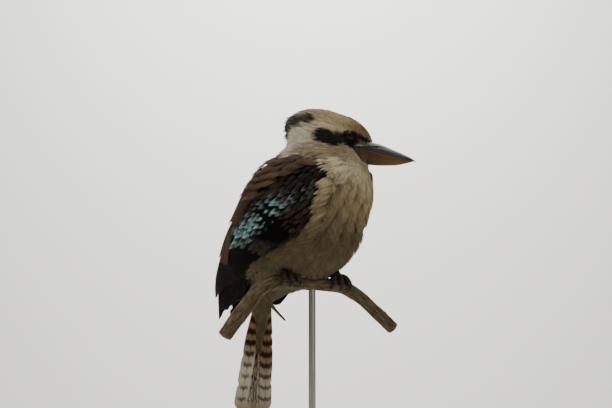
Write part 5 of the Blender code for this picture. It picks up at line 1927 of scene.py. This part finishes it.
# %% [markdown]
# ## Feet
# A kookaburra's feet are small and weak-looking: a short scaly shank, three toes forward and one back. On the
# bird two of the forward toes are joined at the base; here each toe is separate. Broad plates, or scutes, lie
# across the top of each toe, pads swell under its joints, and a curved black claw grips the bark. The toes
# follow the branch as they do in the frame.

# %% Sizes of the feet and their scales
FOOT_SPREAD = 28
TARSUS_ROWS = 70
TARSUS_SIDES = 36
TARSUS_RADIUS = 4
TARSUS_LENGTH = 20
TARSUS_LEAN = -7
TOE_RADIUS = 3.1
TOE_ROWS = 90
TOE_SIDES = 28
CLAW_ROWS = 26
CLAW_SIDES = 18
SCUTE_SPACING = 1.9
TOE_SHARES = [1.05, 0.95, 0.95, 0.85, 0.8]
CLAW_TURNS = [0, 12, 26, 42, 58]
CLAW_STEPS = [0.1, 0.9, 0.7, -0.2, -1.6]
CLAW_SHARES = [0.62, 0.52, 0.4, 0.26, 0.08]
# Spread along the branch, sweep over it (1 forward), fan and length share of each toe
TOES = [(-4, 1, -5, 0.95), (0, 1, 0.5, 1.05), (4, 1, 6, 0.95), (0, -1, -1, 0.9)]


def scuted(line, radii, sides, outward_rows, scute, pads):
    """Rings of a scaly limb. Scutes cross its upper side, and pads swell on the side that grips."""
    rings = swept(line, radii, sides)
    length = lengths_along(line)
    spokes = unit(rings - line[:, None])
    upper = (spokes * outward_rows[:, None]).sum(axis=-1)
    phase = (length / SCUTE_SPACING) % 1
    plates = (phase**2 - 0.4)[:, None] * smooth(upper, 0.0, 0.5) * scute
    beads = np.sin(length * 4.6)[:, None] * np.sin(np.arange(sides) * 2 * np.pi / sides * 9) * 0.5
    beads = beads * smooth(upper, 0.2, -0.3) * scute
    share = length / length[-1]
    swell = np.abs(np.sin(np.pi * share * pads))[:, None] * smooth(upper, 0.1, -0.7) * 0.16 * radii[:, None]
    return rings + spokes * (plates + beads + swell - 0.05 * radii[:, None])[..., None]


def gripping(place, angles, out, side_shift):
    """Points round the branch from its top, at a place along it, and the ways out from its centre."""
    spokes = stacked(0 * angles, -np.sin(angles), np.cos(angles))
    points = spokes * out[:, None] + side_shift[:, None] * np.array([1.0, 0, 0])
    return points @ PERCH_TURN.T + perch_line(place), spokes @ PERCH_TURN.T


# %% Toes and claws
def make_toe(name, place, sweep, fan, length_share):
    share = np.linspace(0, 1, TOE_ROWS)
    angles = np.radians((-8 + 100 * share) * length_share) * sweep
    out = perch_radius(place) + TOE_RADIUS * 0.8
    line, spokes = gripping(place, angles, out + 0 * share, fan * share)
    radii = TOE_RADIUS * curve(share, np.linspace(0, 1, 5), TOE_SHARES) * (1 - 0.3 * smooth(share, 0.93, 1))
    rings = scuted(line, radii, TOE_SIDES, spokes, 0.24, 3)
    toe = ring_piece(name, rings, line[0], line[-1], toe_scale)
    share = np.linspace(0, 1, CLAW_ROWS)
    stations = np.linspace(0, 1, 5)
    bend = np.radians(curve(share, stations, CLAW_TURNS) - 5) * sweep
    step = curve(share, stations, CLAW_STEPS)
    line, spokes = gripping(place, angles[-1] + bend, out + step, fan * (1 + 0.1 * share))
    radii = TOE_RADIUS * curve(share, stations, CLAW_SHARES)
    rings = swept(line, radii, CLAW_SIDES)
    claw = ring_piece(name + "_claw", rings, line[0], line[-1], claw_horn)
    return toe


# %% Feet
def make_foot(label, hand):
    place = hand * FOOT_SPREAD
    ankle = perch_line(place) + np.array([0, 0, perch_radius(place) + TOE_RADIUS * 0.7])
    hip = ankle + np.array([TARSUS_LEAN, 0, TARSUS_LENGTH])
    share = np.linspace(0, 1, TARSUS_ROWS)
    line = ankle + share[:, None] * (hip - ankle)
    radii = TARSUS_RADIUS * curve(share, np.linspace(0, 1, 5), [1.3, 1, 0.95, 1, 1.1])
    ahead = np.broadcast_to(np.array([1.0, 0, 0]), line.shape)
    rings = swept(line, radii, TARSUS_SIDES, up=(1, 0, 0))
    spokes = unit(rings - line[:, None])
    upper = (spokes * ahead[:, None]).sum(axis=-1)
    phase = (share * TARSUS_LENGTH / SCUTE_SPACING) % 1
    rings = rings + spokes * ((phase**2 - 0.5)[:, None] * smooth(upper, -0.2, 0.4) * 0.24 - 0.05)[..., None]
    shank = ring_piece("shank_" + label, rings, line[0], line[-1], toe_scale)
    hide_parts("leg_" + label)
    for number, (spread, sweep, fan, length_share) in enumerate(TOES):
        make_toe(f"toe_{label}_{number + 1}", place + spread, sweep, fan, length_share)


for label, hand in SIDES:
    make_foot(label, hand)
print("toes per foot:", len(TOES))

# %% [markdown]
# ## Stand
# The base is turned oak with a rounded edge and a small step, and the rod is steel in a turned collar. A
# lathe makes both, so each is a profile spun round the upright axis.

# %% Turn the stand
BASE_RADIUS = 86
BASE_THICKNESS = 16
ROD_RADIUS = 3.5
COLLAR_RADIUS = 8
COLLAR_HEIGHT = 5


def turned(name, profile, sides, finish):
    """A solid of revolution from (radius, height) pairs in millimetres over the floor."""
    radii, heights = np.array(profile, float).T
    around = circle_angles(sides)
    heights = heights - PERCH_HEIGHT
    radii = radii[:, None]
    rings = stacked(radii * np.cos(around), radii * np.sin(around), heights[:, None])
    piece = ring_piece(name, rings, (0, 0, heights[0]), (0, 0, heights[-1]), finish)
    piece.data.set_sharp_from_angle(angle=radians(35))
    return piece


def rounded(radius, height, corner, steps, start):
    """Profile points round a corner of the outside, from that angle a quarter turn on."""
    angles = np.radians(start + np.linspace(0, 90, steps))
    return [(radius + corner * cos(a), height + corner * sin(a)) for a in angles]


top = BASE_THICKNESS
base_profile = rounded(BASE_RADIUS - 1, 1, 1, 5, -90)
base_profile += rounded(BASE_RADIUS - 4, top - 6, 4, 14, 0)
base_profile += [(BASE_RADIUS - 6, top - 2)]
base_profile += rounded(BASE_RADIUS - 8, top - 2, 2, 9, 0)
base = turned("base_turned", base_profile, 192, oak)
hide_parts("stand_base")
foot = top
rod_profile = [(COLLAR_RADIUS, foot)]
rod_profile += rounded(COLLAR_RADIUS - 1, foot + COLLAR_HEIGHT - 1, 1, 7, 0)
rod_profile += [(ROD_RADIUS + 0.6, foot + COLLAR_HEIGHT), (ROD_RADIUS, foot + COLLAR_HEIGHT + 0.6)]
rod_profile += [(ROD_RADIUS, PERCH_HEIGHT - PERCH_RADIUS * 0.8)]
rod = turned("rod_turned", rod_profile, 72, steel)
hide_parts("stand_rod")

# %% [markdown]
# ## Studio
# A pale floor and a pale backdrop, lit from above by one broad soft light, as under a bright open sky, so
# that the crown and shoulders are bright and the belly falls into shade. A weaker one stands front right,
# and the backdrop has its own light.

# %% Make the floor, backdrop and lights
STUDIO_GREY = "#D6D5D1"
KEY_POWER = 25
FILL_POWER = 1.6
BACKDROP_POWER = 190
WORLD_STRENGTH = 0.15

paper, _, _ = new_material("studio_paper", Roughness=0.9, Base_Color=rgba(STUDIO_GREY))


def stage_sheet(name, corners):
    mesh = bpy.data.meshes.new(name)
    mesh.from_pydata(corners, [], [(0, 1, 2, 3)])
    mesh.materials.append(paper)
    made = bpy.data.objects.new(name, mesh)
    bpy.context.scene.collection.objects.link(made)
    return made


stage_sheet("floor", [(-3, -3, 0), (3, -3, 0), (3, 3, 0), (-3, 3, 0)])
stage_sheet("backdrop", [(-4, 3, 0), (4, 3, 0), (4, 3, 4), (-4, 3, 4)])


def area_light(name, place, aim, size, power, tint="#FFFFFF"):
    data = bpy.data.lights.new(name, "AREA")
    data.shape = "DISK"
    data.size = size
    data.energy = power
    data.color = from_hex(tint)
    made = bpy.data.objects.new(name, data)
    made.location = place
    made.rotation_euler = (Vector(aim) - Vector(place)).to_track_quat("-Z", "Y").to_euler()
    bpy.context.scene.collection.objects.link(made)
    return made


area_light("key_light", (-0.1, -0.1, 1.5), (0, 0, 0.25), 1.2, KEY_POWER, "#FFFBF2")
area_light("fill_light", (0.9, -1.2, 0.6), (0, 0, 0.25), 0.8, FILL_POWER, "#FFF6E6")
area_light("backdrop_light", (0, 1.4, 2.4), (0, 3, 0.7), 1.6, BACKDROP_POWER)

world = bpy.data.worlds.new("studio")
world.use_nodes = True
sky = world.node_tree.nodes["Background"]
sky.inputs["Color"].default_value = rgba("#EEF1F4")
sky.inputs["Strength"].default_value = WORLD_STRENGTH
bpy.context.scene.world = world
